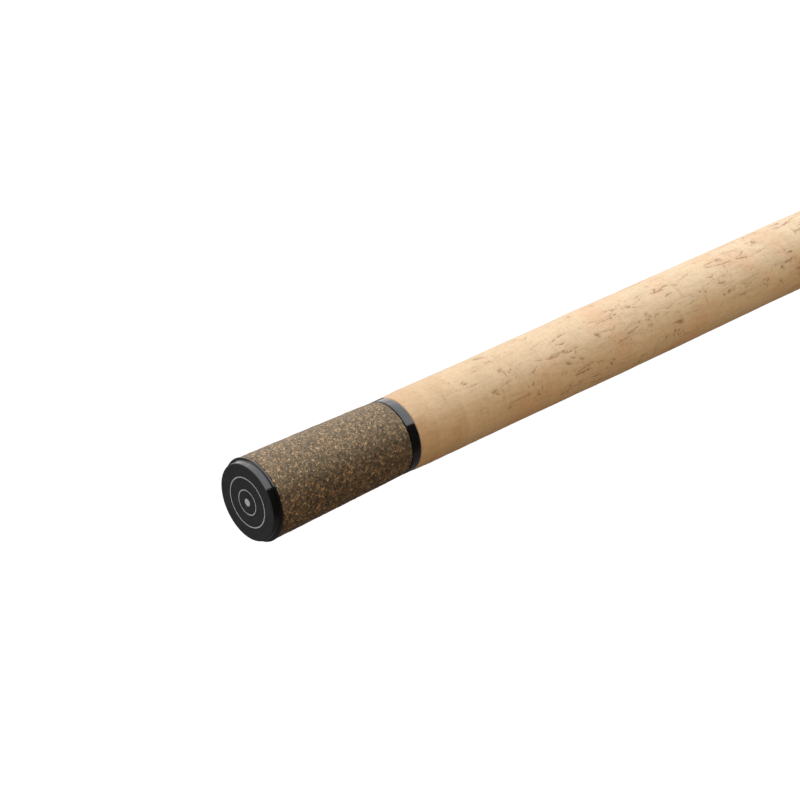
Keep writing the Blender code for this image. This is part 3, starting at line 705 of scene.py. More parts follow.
class Sheet:
    """The unrolled surface of a round grip, for drawing pores and cracks on."""

    def __init__(self, x0, x1, girth, step, seed):
        self.x0, self.x1, self.girth = x0, x1, girth
        self.nx, self.na = int(round((x1 - x0) / step)) + 1, int(round(girth / step))
        self.dx, self.da = (x1 - x0) / (self.nx - 1), girth / self.na
        self.rng = np.random.default_rng(seed)
        self.dark = np.zeros((self.nx, self.na), np.float32)

    def dot(self, x, a, rx, ra, level, soft=0.10, heading=0.0):
        reach = max(rx, ra) + soft
        i0 = max(0, int((x - self.x0 - reach) / self.dx))
        i1 = min(self.nx - 1, int((x - self.x0 + reach) / self.dx) + 1)
        if i1 <= i0:
            return
        j = np.arange(int((a - reach) / self.da) - 1, int((a + reach) / self.da) + 2)
        u = (self.x0 + np.arange(i0, i1 + 1) * self.dx - x)[:, None]
        v = (j * self.da - a)[None, :]
        c, s = math.cos(heading), math.sin(heading)
        off = np.sqrt(((u * c + v * s) / rx) ** 2 + ((v * c - u * s) / ra) ** 2)
        cover = np.clip((1 - off) * min(rx, ra) / soft + 0.5, 0, 1) * level
        part = np.ix_(np.arange(i0, i1 + 1), j % self.na)
        self.dark[part] = np.maximum(self.dark[part], cover)

    def stroke(self, x, a, heading, length, width, level, kink=0.03, wander=0.16,
               soft=0.42):
        """A crack: a line that wanders, kinks, fades and changes width."""
        rng, step = self.rng, 0.16
        main, fade = heading, rng.uniform(0.7, 1.0)
        count = max(3, int(length / step))
        for i in range(count):
            t = i / (count - 1)
            heading += rng.normal(0, wander) + (main - heading) * 0.09
            if rng.random() < kink:
                heading += rng.choice((-1, 1)) * rng.uniform(0.6, 1.3)
            fade = min(1.0, max(0.30, fade + rng.normal(0, 0.10)))
            x += math.cos(heading) * step
            a += math.sin(heading) * step
            taper = 0.55 + 0.55 * math.sin(math.pi * min(max(t, 0.02), 0.98)) ** 0.5
            w = width * taper * rng.uniform(0.8, 1.25)
            self.dot(x, a, w / 2 + 0.05, w / 2, level * fade, soft, heading)
        return x, a

    def sampled(self, values, xs, sides):
        """values at mesh points: rows xs, evenly spaced round the rod."""
        gx = (np.asarray(xs) - self.x0) / self.dx
        gx = np.clip(gx, 0, self.nx - 1.0001)
        i = gx.astype(int)
        t = (gx - i)[:, None]
        rows = values[i] * (1 - t) + values[i + 1] * t
        ga = np.arange(sides) * self.na / sides
        j = ga.astype(int)
        u = (ga - j)[None, :]
        return rows[:, j % self.na] * (1 - u) + rows[:, (j + 1) % self.na] * u


def along(profile, x):
    return np.interp(x, [p[0] for p in profile], [p[1] for p in profile])


def sleeve(name, xs, radius, bore, material, masks):
    """A hollow grip: a fine outer surface, flat ends and a plain bore. radius
    and each mask have a row for each x."""
    rows, sides = radius.shape
    sn, cs = circle(sides)
    x = np.repeat(np.asarray(xs)[:, None], sides, 1)
    rings = np.stack([x, radius * sn, radius * cs], -1)
    ends = []
    for at, r in ((xs[-1], bore[1]), (xs[0], bore[0])):
        ends.append(np.stack([np.full(sides, at), r * sn, r * cs], -1))
    points = np.concatenate([rings, np.stack(ends)]).reshape(-1, 3)
    full = {}
    for key, values in masks.items():
        tail = np.zeros((2, sides), np.float32)
        full[key] = np.concatenate([np.asarray(values, np.float32), tail]).ravel()
    return build(name, points, ring_faces(rows + 2, sides, True), materials=[material],
                 masks=full, sharp=50.0)


# ------------------------------------------------------------------- handle
REAR_GRIP = (62.6, 455.0)
REAR_PROFILE = ((62.6, 12.96), (64.0, 13.02), (70.0, 13.17), (94.0, 13.10), (125.0, 13.14),
                (156.0, 13.28), (187.0, 13.21), (218.0, 13.08), (249.0, 13.00),
                (300.0, 12.85), (360.0, 12.55), (420.0, 12.25), (455.0, 12.09))
FORE_GRIP = (588.6, 668.0)
FORE_PROFILE = ((588.6, 12.06), (592.0, 12.17), (598.0, 12.32), (605.0, 12.42), (612.0, 12.40),
                (618.0, 12.32), (625.0, 12.15), (632.0, 11.86), (640.0, 11.45), (650.0, 10.87),
                (658.0, 10.34), (668.0, 9.72))
BLANK_PROFILE = ((3.3, 8.00), (460.0, 7.40), (700.0, 7.00), (1250.0, 6.10), (1850.0, 5.20))
CORK_RING = 12.7  # length of each ring of cork in the glued-up grip


def cork_sheet(x0, x1, girth, seed):
    """Lenticels, pits and glue lines of a natural cork grip."""
    sheet = Sheet(x0, x1, girth, 0.14, seed)
    rng = sheet.rng
    spacing, shape = (sheet.dx, sheet.da), sheet.dark.shape
    crowd = field(rng, shape, spacing, (17.0, 8.0))  # where the pores crowd
    crowd += np.interp(np.linspace(x0, x1, sheet.nx), (90.0, 135.0, 240.0, 300.0),
                       (-0.5, 0.7, 0.7, 0.0))[:, None]
    stain = np.zeros(shape, np.float32)
    seams = [x0 + 0.6 * CORK_RING]
    while seams[-1] + CORK_RING < x1:
        seams.append(seams[-1] + CORK_RING)
    edges = [x0, *seams, x1]
    tone = np.zeros(shape, np.float32)
    xs = sheet.x0 + np.arange(sheet.nx) * sheet.dx

    def spot(a, b):
        """A place between two seams, likelier where the pores crowd."""
        while True:
            x, y = rng.uniform(a, b), rng.uniform(0, girth)
            i = min(int((x - x0) / sheet.dx), sheet.nx - 1)
            if rng.random() < 0.5 + 0.42 * crowd[i, int(y / sheet.da) % sheet.na]:
                return x, y

    def thick(a, b):
        """How many more pores than usual there are between two seams."""
        i, j = int((a - x0) / sheet.dx), int((b - x0) / sheet.dx)
        return 1.0 + 0.55 * float(np.clip(crowd[i:max(j, i + 1)].mean(), -0.8, 1.2))

    def either():
        return math.pi if rng.random() < 0.5 else 0.0

    for a, b in zip(edges, edges[1:]):
        level = np.interp((a + b) / 2,
                          (64.0, 76.0, 90.0, 125.0, 170.0, 215.0, 260.0, 300.0),
                          (1.0, 0.74, 0.48, 0.33, 0.24, 0.13, 0.06, 0.15))
        tone[(xs >= a) & (xs <= b)] = level + float(np.clip(rng.normal(0, 0.05), -0.10, 0.10))
        share = thick(a, b) * (b - a) / CORK_RING * girth / 82.0
        slant = rng.normal(0, 0.07)
        for _ in range(rng.poisson(9.0 * share)):  # long lines along the grip
            x, y = spot(a, b)
            sheet.stroke(x, y, slant + rng.normal(0, 0.07) + either(),
                         min(rng.lognormal(2.35, 0.45), 28.0), rng.uniform(0.34, 0.56),
                         rng.uniform(0.66, 1.0), 0.008, 0.06)
        for _ in range(rng.poisson(26.0 * share)):  # fine faint ones
            x, y = spot(a, b)
            sheet.stroke(x, y, slant + rng.normal(0, 0.10) + either(),
                         rng.lognormal(1.9, 0.5), rng.uniform(0.22, 0.36),
                         rng.uniform(0.54, 0.76), 0.010, 0.07)
        for _ in range(rng.poisson(7.0 * share)):  # short ones
            x, y = spot(a, b)
            sheet.stroke(x, y, slant + rng.normal(0, 0.20) + either(),
                         rng.lognormal(1.2, 0.4), rng.uniform(0.34, 0.60),
                         rng.uniform(0.60, 1.0), 0.02, 0.10)
        for _ in range(rng.poisson(4.0 * share)):  # across, with a branch at an end
            x, y = spot(a, b)
            side = rng.choice((-1, 1)) * math.pi / 2
            x, y = sheet.stroke(x, y, side + rng.normal(0, 0.16), rng.uniform(1.8, 7.0),
                                rng.uniform(0.32, 0.50), rng.uniform(0.56, 0.95), 0.02, 0.08)
            if rng.random() < 0.75:
                sheet.stroke(x, y, either() + rng.normal(0, 0.12), rng.uniform(1.5, 6.0),
                             rng.uniform(0.32, 0.48), rng.uniform(0.56, 0.9), 0.01, 0.07)
        for _ in range(rng.poisson(1.8 * share)):  # a cluster of pits
            x, y = spot(a, b)
            for _ in range(rng.integers(3, 9)):
                sheet.dot(x + rng.normal(0, 1.7), y + rng.normal(0, 0.9),
                          rng.uniform(0.26, 0.62), rng.uniform(0.20, 0.40),
                          rng.uniform(0.7, 1.0), 0.40, rng.normal(0, 0.6))
        for _ in range(rng.poisson(1.6 * share)):  # a stained hollow with a deep crack
            x, y = spot(a, b)
            run, heading = rng.uniform(1.6, 4.5), slant + rng.normal(0, 0.35)
            i, j = int((x - x0) / sheet.dx), int(y / sheet.da) % sheet.na
            stain[min(max(i, 0), sheet.nx - 1), j] += run * rng.uniform(0.5, 1.2)
            for shift in (-0.3, 0.05, 0.35):
                sheet.stroke(x - run / 2 + rng.normal(0, 0.4), y + shift, heading,
                             run * rng.uniform(0.5, 1.0), rng.uniform(0.3, 0.55), 1.0,
                             0.02, 0.14)
        for _ in range(rng.poisson(26 * share)):  # specks
            sheet.dot(*spot(a, b), rng.uniform(0.16, 0.34), rng.uniform(0.13, 0.24),
                      rng.uniform(0.5, 1.0), 0.40, rng.normal(0, 0.5))
    for seam in seams:  # glue lines show here and there
        y = rng.uniform(0, girth)
        end = y + girth
        while y < end:
            run = rng.uniform(2.5, 12.0)
            if rng.random() < 0.20:
                sheet.stroke(seam + rng.normal(0, 0.08), y, math.pi / 2, run,
                             rng.uniform(0.22, 0.32), rng.uniform(0.5, 0.85), 0.0, 0.05)
            y += run + rng.uniform(1, 8)
    np.clip(sheet.dark, 0, 1, out=sheet.dark)
    soft = blur(stain, spacing, 0.8)
    sheet.halo = np.clip(blur(sheet.dark, spacing, 0.6) * 0.75
                         + 0.42 * soft / max(soft.max(), 1e-9), 0, 0.55)
    sheet.tone = np.clip(blur(tone, spacing, 0.25), 0, 1)
    sheet.relief = (0.030 * field(rng, shape, spacing, (4.0, 3.0))
                    + 0.012 * field(rng, shape, spacing, (0.7, 0.5)))
    return sheet


def cork_grip(name, span, profile, seed, fine_to, material):
    x0, x1 = span
    girth = 2 * math.pi * float(np.mean([p[1] for p in profile]))
    sheet = cork_sheet(x0, x1, girth, seed)
    sides = 256
    fine = np.arange(x0 + 0.45, fine_to, 0.34)
    rest = np.arange(fine[-1] + 0.6, x1 - 0.5, 0.6)
    body = np.concatenate([fine, rest])
    lead = np.array([x0, x0 + 0.03, x0 + 0.10, x0 + 0.22])
    tail = np.array([x1 - 0.35, x1 - 0.20, x1 - 0.09, x1 - 0.02, x1])
    xs = np.concatenate([lead, body, tail])
    dark = sheet.sampled(sheet.dark, xs, sides)
    relief = sheet.sampled(sheet.relief, xs, sides)
    base = along(profile, xs)[:, None] - 0.03
    radius = base + relief - 0.14 * dark
    # worn edges at both ends
    edge = np.minimum(xs - x0, x1 - xs)
    radius -= (0.38 * np.clip(1 - edge / 0.45, 0, 1) ** 2)[:, None]
    masks = {"crack": dark, "halo": sheet.sampled(sheet.halo, xs, sides),
             "tone": sheet.sampled(sheet.tone, xs, sides)}
    bore = [float(along(BLANK_PROFILE, x)) + 0.3 for x in span]
    piece = sleeve(name + "_cork", xs, radius, bore, material, masks)
    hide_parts(name)
    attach(piece, "butt_section")
    return piece


def butt_grip(material):
    x0, x1 = 3.25, 58.6
    sheet = Sheet(x0, x1, 2 * math.pi * 13.6, 0.16, 71)
    rng = sheet.rng
    for _ in range(210):
        sheet.dot(rng.uniform(x0, x1), rng.uniform(0, sheet.girth), rng.uniform(0.2, 0.45),
                  rng.uniform(0.14, 0.30), rng.uniform(0.6, 1.0), 0.40, rng.uniform(0, 3.1))
    spacing, shape = (sheet.dx, sheet.da), sheet.dark.shape
    relief = (0.022 * field(rng, shape, spacing, (0.30, 0.30))
              + 0.020 * field(rng, shape, spacing, (0.9, 0.9))
              + 0.020 * field(rng, shape, spacing, (4.0, 4.0)))
    sides = 232
    body = np.arange(x0 + 0.4, x1 - 0.3, 0.37)
    xs = np.concatenate([[x0, x0 + 0.04, x0 + 0.12, x0 + 0.24], body,
                         [x1 - 0.14, x1 - 0.05, x1]])
    dark = sheet.sampled(sheet.dark, xs, sides)
    radius = ((14.25 + (12.95 - 14.25) * (xs - x0) / (x1 - x0)) - 0.045)[:, None]
    radius = radius + sheet.sampled(relief, xs, sides) - 0.12 * dark
    edge = np.minimum(xs - x0, x1 - xs)
    radius -= (0.26 * np.clip(1 - edge / 0.3, 0, 1) ** 2)[:, None]
    bore = [float(along(BLANK_PROFILE, x)) + 0.3 for x in (x0, x1)]
    piece = sleeve("butt_grip_cork", xs, radius, bore, material, {"crack": dark})
    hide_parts("butt_grip")
    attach(piece, "butt_section")


def butt_cap(black, gloss, pale):
    """Cap with a satin face, a gloss wall and a thin flange. Two thin rings and
    a dot are inlaid flush in the face."""
    sink = 0.05
    outer = [(sink, 0.0, 0), (sink, 1.30, 0), (0.0, 1.34, 0)]
    for low, high in ((4.05, 4.47), (8.35, 8.80)):
        outer += [(0.0, low, 0), (sink, low + 0.04, 0), (sink, high - 0.04, 0),
                  (0.0, high, 0)]
    outer += [(0.0, 10.6, 0), (0.0, 12.4, 0), (0.0, 13.25, 0.34), (2.28, 13.40, 0.12),
              (2.30, 13.72, 0.10), (2.40, 14.35, 0.22), (2.95, 14.35, 0.20),
              (2.95, 6.5, 0.1), (23.4, 6.5, 0.5), (24.0, 5.7, 0.3), (24.0, 0.0, 0)]

    def bands(a, b):
        x, r = (a[0] + b[0]) / 2, (a[1] + b[1]) / 2
        if x > sink * 0.9 and x < sink * 1.1 and r < 9.0:
            return 2
        return 1 if r > 12.99 and x > 0.08 else 0

    piece = lathe("butt_cap_body", outer, None, 224, [black, gloss, pale], bands=bands)
    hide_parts("butt_cap")
    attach(piece, "butt_section")


def collar(name, outer, inner, material, slot, body="butt_section", sides=160,
           node=None, axis_z=0.0, **more):
    piece = lathe(name, outer, inner, sides, [material], axis_z=axis_z, **more)
    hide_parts(node)
    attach(piece, body)
    return piece


def bore_at(x0, x1, profile=BLANK_PROFILE):
    return [(x, float(along(profile, x)) + 0.3, 0) for x in (x0, x1)]


def collars(gloss):
    collar("grip_ring_band",
           [(58.9, 12.0, 0), (58.9, 12.90, 0.22), (62.3, 12.90, 0.22), (62.3, 12.0, 0)],
           bore_at(58.9, 62.3), gloss, "ring_black", sides=232, node="grip_ring")
    collar("rear_winding_check_band",
           [(455.3, 11.0, 0), (455.3, 12.3, 0.5), (457.0, 12.3, 0.05), (457.15, 12.15, 0.05),
            (457.45, 12.15, 0.05), (457.6, 12.3, 0.05), (458.4, 12.3, 0.4), (459.2, 11.8, 0.3),
            (459.2, 11.0, 0)],
           bore_at(455.3, 459.2), gloss, "collar_black", node="rear_winding_check")
    collar("fore_seat_collar_band",
           [(585.3, 11.2, 0), (585.3, 12.2, 0.4), (588.3, 12.2, 0.4), (588.3, 11.2, 0)],
           bore_at(585.3, 588.3), gloss, "collar_black", node="fore_seat_collar")
    collar("fore_winding_check_cone",
           [(668.3, 8.6, 0), (668.3, 9.7, 0.4), (671.3, 9.3, 0.8), (675.4, 8.0, 0.5),
            (676.0, 7.5, 0.2), (676.0, 7.34, 0)],
           bore_at(668.3, 676.0), gloss, "collar_black", node="fore_winding_check")


# ---------------------------------------------------------------- reel seat
SEAT_X, SEAT_R, SEAT_BORE_R = (459.5, 585.0), 11.25, 9.0
THREAD_X, THREAD_PITCH, THREAD_DEPTH = (533.0, 577.0), 2.75, 0.70
LAND_X, LAND_Z, RELIEF_Z = (463.0, 494.5, 535.5, 566.0), -10.45, -10.30
KEYWAY_X, KEYWAY_HALF, KEYWAY_Z = (505.0, 574.0), 1.5, 10.1
FIXED_HOOD_X, SLIDING_HOOD_X = (461.0, 494.0), (536.0, 566.0)
HOOD_R, HOOD_BORE, HOOD_POCKET, HOOD_RISE = 12.45, 11.65, 5.8, 6.0
NUT_X, NUT_R, NUT_FLUTES, NUT_BORE = (566.3, 577.5), 13.6, 16, 11.55


def reel_seat_body(material):
    """Tube with a helical thread, a flat land under it and a keyway on top."""
    slot = math.asin(KEYWAY_HALF / SEAT_R)
    turn = 2 * math.pi * np.arange(-72, 72) / 144
    turn = turn[np.abs(np.abs(turn) - slot) > 0.03]
    turn = np.sort(np.concatenate([turn, [-slot - 0.004, -slot + 0.001, slot - 0.001,
                                          slot + 0.004]]))
    steps = [x + d for x in (*LAND_X, *KEYWAY_X) for d in (-0.02, 0.02)]
    xs = np.unique(np.concatenate([
        np.array([0.0, 0.05, 0.16, 0.30, 0.40]) + SEAT_X[0], np.arange(462.0, 532.0, 4.0),
        steps, np.arange(532.4, 577.6, 0.125),
        np.arange(579.0, 584.0, 2.0), SEAT_X[1] - np.array([0.40, 0.30, 0.16, 0.05, 0.0])]))
    x, a = xs[:, None], turn[None, :]
    phase = ((x - THREAD_X[0]) / THREAD_PITCH + a / (2 * math.pi)) % 1.0
    groove = np.clip((0.66 - np.abs(phase - 0.5) * 2) / 0.52, 0, 1)
    groove = groove ** 2 * (3 - 2 * groove)
    reach = np.clip((x - THREAD_X[0]) / 2.4, 0, 1) * np.clip((THREAD_X[1] - x) / 1.6, 0, 1)
    r = SEAT_R - THREAD_DEPTH * groove * reach
    edge = np.minimum(x - SEAT_X[0], SEAT_X[1] - x)
    r = r - 0.40 * np.clip(1 - edge / 0.40, 0, 1) ** 2
    y, z = r * np.sin(a), r * np.cos(a)
    x = np.broadcast_to(x, y.shape)
    land = (x > LAND_X[0]) & (x < LAND_X[3])
    floor = np.where((x > LAND_X[1]) & (x < LAND_X[2]), LAND_Z, RELIEF_Z)
    z = np.where(land & (z < floor), floor, z)
    key = (x > KEYWAY_X[0]) & (x < KEYWAY_X[1]) & (np.abs(a) < slot)
    z = np.where(key, KEYWAY_Z, z)
    rings = list(np.stack([x, y, z], -1))
    for at in SEAT_X[::-1]:
        rings.append(np.stack([np.full(len(turn), at), SEAT_BORE_R * np.sin(turn),
                               SEAT_BORE_R * np.cos(turn)], -1))
    install("reel_seat_tube", loft(rings, True), material, "reel_seat_body",
            "butt_section", 30.0)


def pocket_window(turn, flat, edge):
    """1 within flat degrees of straight down, falling smoothly to 0 at edge."""
    off = 180.0 - np.abs((np.degrees(turn) + 180.0) % 360.0 - 180.0)
    t = np.clip((off - flat) / (edge - flat), 0, 1)
    return 1.0 - t * t * (3 - 2 * t)


def hood(name, node, x0, x1, mouth_at_tip, material, body, key=None):
    """A sleeve round the seat with a pocket under it for the reel's foot."""
    turn = 2 * math.pi * np.arange(176) / 176
    length = x1 - x0
    swell, hollow = pocket_window(turn, 38, 72), pocket_window(turn, 36, 62)

    def ring(t, r):
        x = x0 + length * t if mouth_at_tip else x1 - length * t
        return np.stack([np.full(len(turn), x), r * np.sin(turn), r * np.cos(turn)], -1)

    rings = []
    outer = np.unique(np.concatenate([[0.0, 0.004, 0.012, 0.022, 0.03],
                                      np.linspace(0.05, 0.90, 32),
                                      np.linspace(0.905, 0.985, 22), [0.992, 0.997, 1.0]]))
    for t in outer:
        u = min(max((t - 0.15) / 0.66, 0.0), 1.0)
        rise = math.sin(math.pi / 2 * u) ** 1.2
        cut = 0.32 * max(0.0, 1 - t / 0.03) ** 2 + 0.30 * max(0.0, (t - 0.985) / 0.015) ** 2
        line = 0.16 * math.exp(-((t - 0.945) / 0.008) ** 2)
        rings.append(ring(t, HOOD_R - 0.02 - cut - line + HOOD_RISE * rise * swell))
    for t in np.concatenate([[1.0], np.linspace(0.985, 0.40, 22), [0.35, 0.0]]):
        u = min(max((t - 0.39) / 0.55, 0.0), 1.0)
        rise = math.sin(math.pi / 2 * u) ** 0.9
        flare = 0.22 if t == 1.0 else 0.0
        rings.append(ring(t, HOOD_BORE + flare + HOOD_POCKET * rise * hollow))
    if not mouth_at_tip:
        rings = rings[::-1]
    pieces = [loft(rings, True)]
    if key:
        pieces.append(block(*key))
    install(name, joined(pieces), material, node, body, 40.0)


def lock_nut(material, trim):
    turn = 2 * math.pi * np.arange(320) / 320
    wave = np.cos(NUT_FLUTES * turn)
    flute = np.sign(wave) * np.abs(wave) ** 0.7
    length = NUT_X[1] - NUT_X[0]
    rings = []
    for x in (0.0, 0.06, 0.18, 0.35, 0.55, 0.8, 1.1, 1.5, length / 2 - 0.5, length / 2 - 0.3,
              length / 2 + 0.3, length / 2 + 0.5, length - 1.5, length - 1.1, length - 0.8,
              length - 0.55, length - 0.35, length - 0.18, length - 0.06, length):
        edge = min(x, length - x)
        base = 13.25 - 0.50 * max(0.0, 1 - edge / 0.8) ** 2.2
        depth = 0.33 * min(max((edge - 0.25) / 0.9, 0.0), 1.0)
        if abs(x - length / 2) < 0.4:
            base, depth = base - 0.22, depth * 0.8
        r = base + depth * flute
        rings.append(np.stack([np.full(len(turn), NUT_X[0] + x), r * np.sin(turn),
                               r * np.cos(turn)], -1))
    for x, r in ((NUT_X[1], NUT_BORE), (NUT_X[0], NUT_BORE)):
        rings.append(np.stack([np.full(len(turn), x), r * np.sin(turn), r * np.cos(turn)], -1))
    install("lock_nut_grip", loft(rings, True), material, "lock_nut",
            "lock_nut", 40.0)
    collar("nut_trim_band",
           [(577.8, 12.5, 0), (577.8, 13.0, 0.3), (579.6, 12.95, 0.5), (579.6, 12.3, 0)],
           [(577.8, NUT_BORE, 0), (579.6, NUT_BORE, 0)], trim, "trim_steel", "lock_nut",
           node="nut_trim_ring")


# -------------------------------------------------------------------- blank
TIP_PROFILE = ((1859.0, 5.20), (2400.0, 4.00), (3000.0, 2.60), (3400.0, 1.75),
               (3656.0, 1.20))
GAP, FOOT_W, FOOT_H, WHIP_T = 0.3, 2.6, 0.9, 0.45


def blanks(carbon_tube, spigot):
    for name, node, span, profile, wall, least, body in (
            ("butt_tube", "butt_blank", (3.3, 1850.0), BLANK_PROFILE, 1.10, 0.0,
             "butt_section"),
            ("tip_tube", "tip_blank", (1859.0, 3656.0), TIP_PROFILE, 1.00, 0.45,
             "tip_section")):
        xs = np.unique(np.concatenate([[span[0], span[0] + 0.25, span[1] - 0.25, span[1]],
                                       np.arange(span[0] + 30.0, span[1] - 20.0, 30.0)]))
        r = along(profile, xs)
        drop = np.where((xs == span[0]) | (xs == span[1]), 0.15, 0.0)
        outer = [(float(x), float(v), 0) for x, v in zip(xs, r - drop)]
        ends = [xs[0], xs[-1]]
        inner = [(float(x), float(max(v - wall, v * least)), 0)
                 for x, v in zip(xs, r) if x in ends or x in [p[0] for p in profile]]
        collar(name, outer, inner, carbon_tube, "carbon_blank", body, 72, node)
    collar("spigot_rod",
           [(1770.0, 0.0, 0), (1770.0, 3.5, 0), (1771.0, 3.78, 0.4), (1940.5, 3.62, 0.5),
            (1942.0, 3.0, 0.5), (1942.0, 0.0, 0)], None, spigot, "spigot_carbon",
           "butt_section", 64, "ferrule_spigot")


def dome(x, x0, x1, low, high, run):
    """Height of thread and varnish: rounded down to low at both ends."""
    edge = min(x - x0, x1 - x) / run
    if edge >= 1:
        return high
    return low + (high - low) * math.sqrt(max(0.0, 1 - (1 - edge) ** 2))


def wrap_rows(x0, x1, run):
    ends = run * (1 - np.cos(np.linspace(0, math.pi / 2, 8)))
    return np.unique(np.concatenate([x0 + ends, np.arange(x0 + run, x1 - run, 1.0),
                                     x1 - ends]).round(5))


def round_whipping(name, node, x0, x1, profile, material, body, run=2.2):
    """Thread round the bare blank."""
    xs = wrap_rows(x0, x1, run)
    outer = [(float(x), float(along(profile, x)) + dome(x, x0, x1, 0.05, GAP + WHIP_T, run), 0)
             for x in xs]
    inner = [(x, float(along(profile, x)) + 0.02, 0) for x in (x0, x1)]
    collar(name, outer, inner, material, "whipping", body, 72, node)


def hull(points):
    """Convex outline of points in the plane, anticlockwise."""
    points = sorted(set(points))

    def chain(order):
        out = []
        for p in order:
            while len(out) > 1 and (
                (out[-1][0] - out[-2][0]) * (p[1] - out[-2][1])
                - (out[-1][1] - out[-2][1]) * (p[0] - out[-2][0])
            ) <= 1e-7:
                out.pop()
            out.append(p)
        return out[:-1]

    return np.array(chain(points) + chain(points[::-1]))


def guide_whipping(name, node, x0, x1, toe_at_x1, radius, profile, material, body):
    """Thread over a foot: each row is the outline of a line drawn tight round
    the blank and the foot, which thins out towards its toe."""
    turn = 2 * math.pi * np.arange(80) / 80
    ways = np.stack([np.sin(turn), np.cos(turn)], -1)
    arc = 2 * math.pi * np.arange(48) / 48
    rings = []
    for x in wrap_rows(x0, x1, 1.6):
        from_toe = (x1 - x) if toe_at_x1 else (x - x0)
        left = min(max((from_toe - 1.5) / 7.0, 0.0), 1.0)
        left = left * left * (3 - 2 * left)
        half = FOOT_W / 2 * (0.45 + 0.55 * left)
        low = radius + 0.05 + (GAP + FOOT_H - 0.05) * left
        blank_r = float(along(profile, x))
        grow = dome(x, x0, x1, 0.06, WHIP_T + GAP, 1.6)
        corners = [(sign * half + grow * math.sin(t), -low - grow * math.cos(t))
                   for sign in (-1, 1) for t in np.linspace(-math.pi / 2, math.pi / 2, 9)]
        outline = hull([(round(float(p), 6), round(float(q), 6)) for p, q in
                        [*zip((blank_r + grow) * np.cos(arc), (blank_r + grow) * np.sin(arc)),
                         *corners]])
        step = np.roll(outline, -1, 0) - outline
        normal = np.stack([step[:, 1], -step[:, 0]], -1)
        normal /= np.linalg.norm(normal, axis=1)[:, None]
        off = (normal * outline).sum(1)
        facing = ways @ normal.T
        reach = np.where(facing > 1e-6, off / np.maximum(facing, 1e-6), 1e9).min(1)
        rings.append(np.stack([np.full(80, x), reach * ways[:, 0], reach * ways[:, 1]], -1))
    for x in (x1, x0):
        r = float(along(profile, x)) + 0.02
        rings.append(np.stack([np.full(80, x), r * ways[:, 0], r * ways[:, 1]], -1))
    install(name, loft(rings, True), material, node, body, 40.0)


# -------------------------------------------------------------- line guides
GUIDES = (
    ("guide_1", 1250.0, 25.0, 21.6, 41.0, 1.05, 11.0, 26.0),
    ("guide_2", 2000.0, 20.0, 17.0, 33.5, 0.95, 9.5, 23.0),
    ("guide_3", 2440.0, 15.0, 12.4, 26.5, 0.85, 8.5, 20.0),
    ("guide_4", 2820.0, 10.5, 8.2, 19.5, 0.75, 7.0, 17.0),
    ("guide_5", 3140.0, 8.5, 6.4, 16.0, 0.65, 6.0, 15.0),
    ("guide_6", 3410.0, 8.0, 6.0, 14.5, 0.60, 6.0, 14.0),
)


def bezier(a, b, c, d, count=22):
    t = np.linspace(0, 1, count)[:, None]
    return a * (1 - t) ** 3 + b * 3 * (1 - t) ** 2 * t + c * 3 * (1 - t) * t * t + d * t ** 3


def ring_arrays(x, outer_r, inner_r, low, width, sides=112):
    """The frame's ring: a band with rounded corners."""
    seat_r = inner_r + (outer_r - inner_r) * 0.42
    half, mid = width / 2, seat_r + (outer_r - seat_r) * 0.5
    arrays = turned([(x - half, mid + 0.1, 0), (x - half, outer_r, 0.55),
                     (x + half, outer_r, 0.55), (x + half, mid + 0.1, 0)],
                    [(x - half, mid - 0.1, 0), (x - half, seat_r, 0.35),
                     (x + half, seat_r, 0.35), (x + half, mid - 0.1, 0)],
                    sides, -low, steps=5)
    return arrays[:3]


def insert(name, node, x, outer_r, inner_r, low, width, material, body):
    """The ceramic ring: round inside, so that line runs over a curve."""
    seat_r = inner_r + (outer_r - inner_r) * 0.42 - GAP + 0.02
    half = width / 2 * 0.8
    middle, reach = (seat_r + inner_r) / 2, (seat_r - inner_r) / 2
    sides, steps = 112, 28
    turn = 2 * math.pi * np.arange(sides) / sides
    rings = []
    for i in range(steps):
        t = 2 * math.pi * i / steps
        c, s = math.cos(t), math.sin(t)
        r = middle + reach * math.copysign(abs(s) ** 0.75, s)
        at = x - half * math.copysign(abs(c) ** (0.6 if s > 0 else 0.85), c)
        rings.append(np.stack([np.full(sides, at), r * np.sin(turn),
                               -low + r * np.cos(turn)], -1))
    install(name, loft(rings, True), material, node, body, 50.0)


def foot_arrays(x0, x1, toe_at_x1, radius):
    """A flat foot, thinned and narrowed to its toe."""
    turn = 2 * math.pi * np.arange(28) / 28
    rings = []
    for x in np.concatenate([[x0, x0 + 0.12], np.linspace(x0 + 0.4, x1 - 0.4, 12),
                             [x1 - 0.12, x1]]):
        to_toe = (x - x0) / (x1 - x0) if toe_at_x1 else (x1 - x) / (x1 - x0)
        edge = min(x - x0, x1 - x)
        half = FOOT_W / 2 * (1 - 0.45 * to_toe) - 0.25 * max(0.0, 1 - edge / 0.4)
        top = -(radius + 0.04)
        thick = (GAP + FOOT_H - 0.04) * (1 - 0.60 * to_toe) - 0.2 * max(0.0, 1 - edge / 0.4)
        sn, cs = np.sin(turn), np.cos(turn)
        rings.append(np.stack([np.full(28, x), half * np.sign(sn) * np.abs(sn) ** 0.5,
                               top - thick / 2 + thick / 2 * np.sign(cs) * np.abs(cs) ** 0.5],
                              -1))
    return loft(rings)


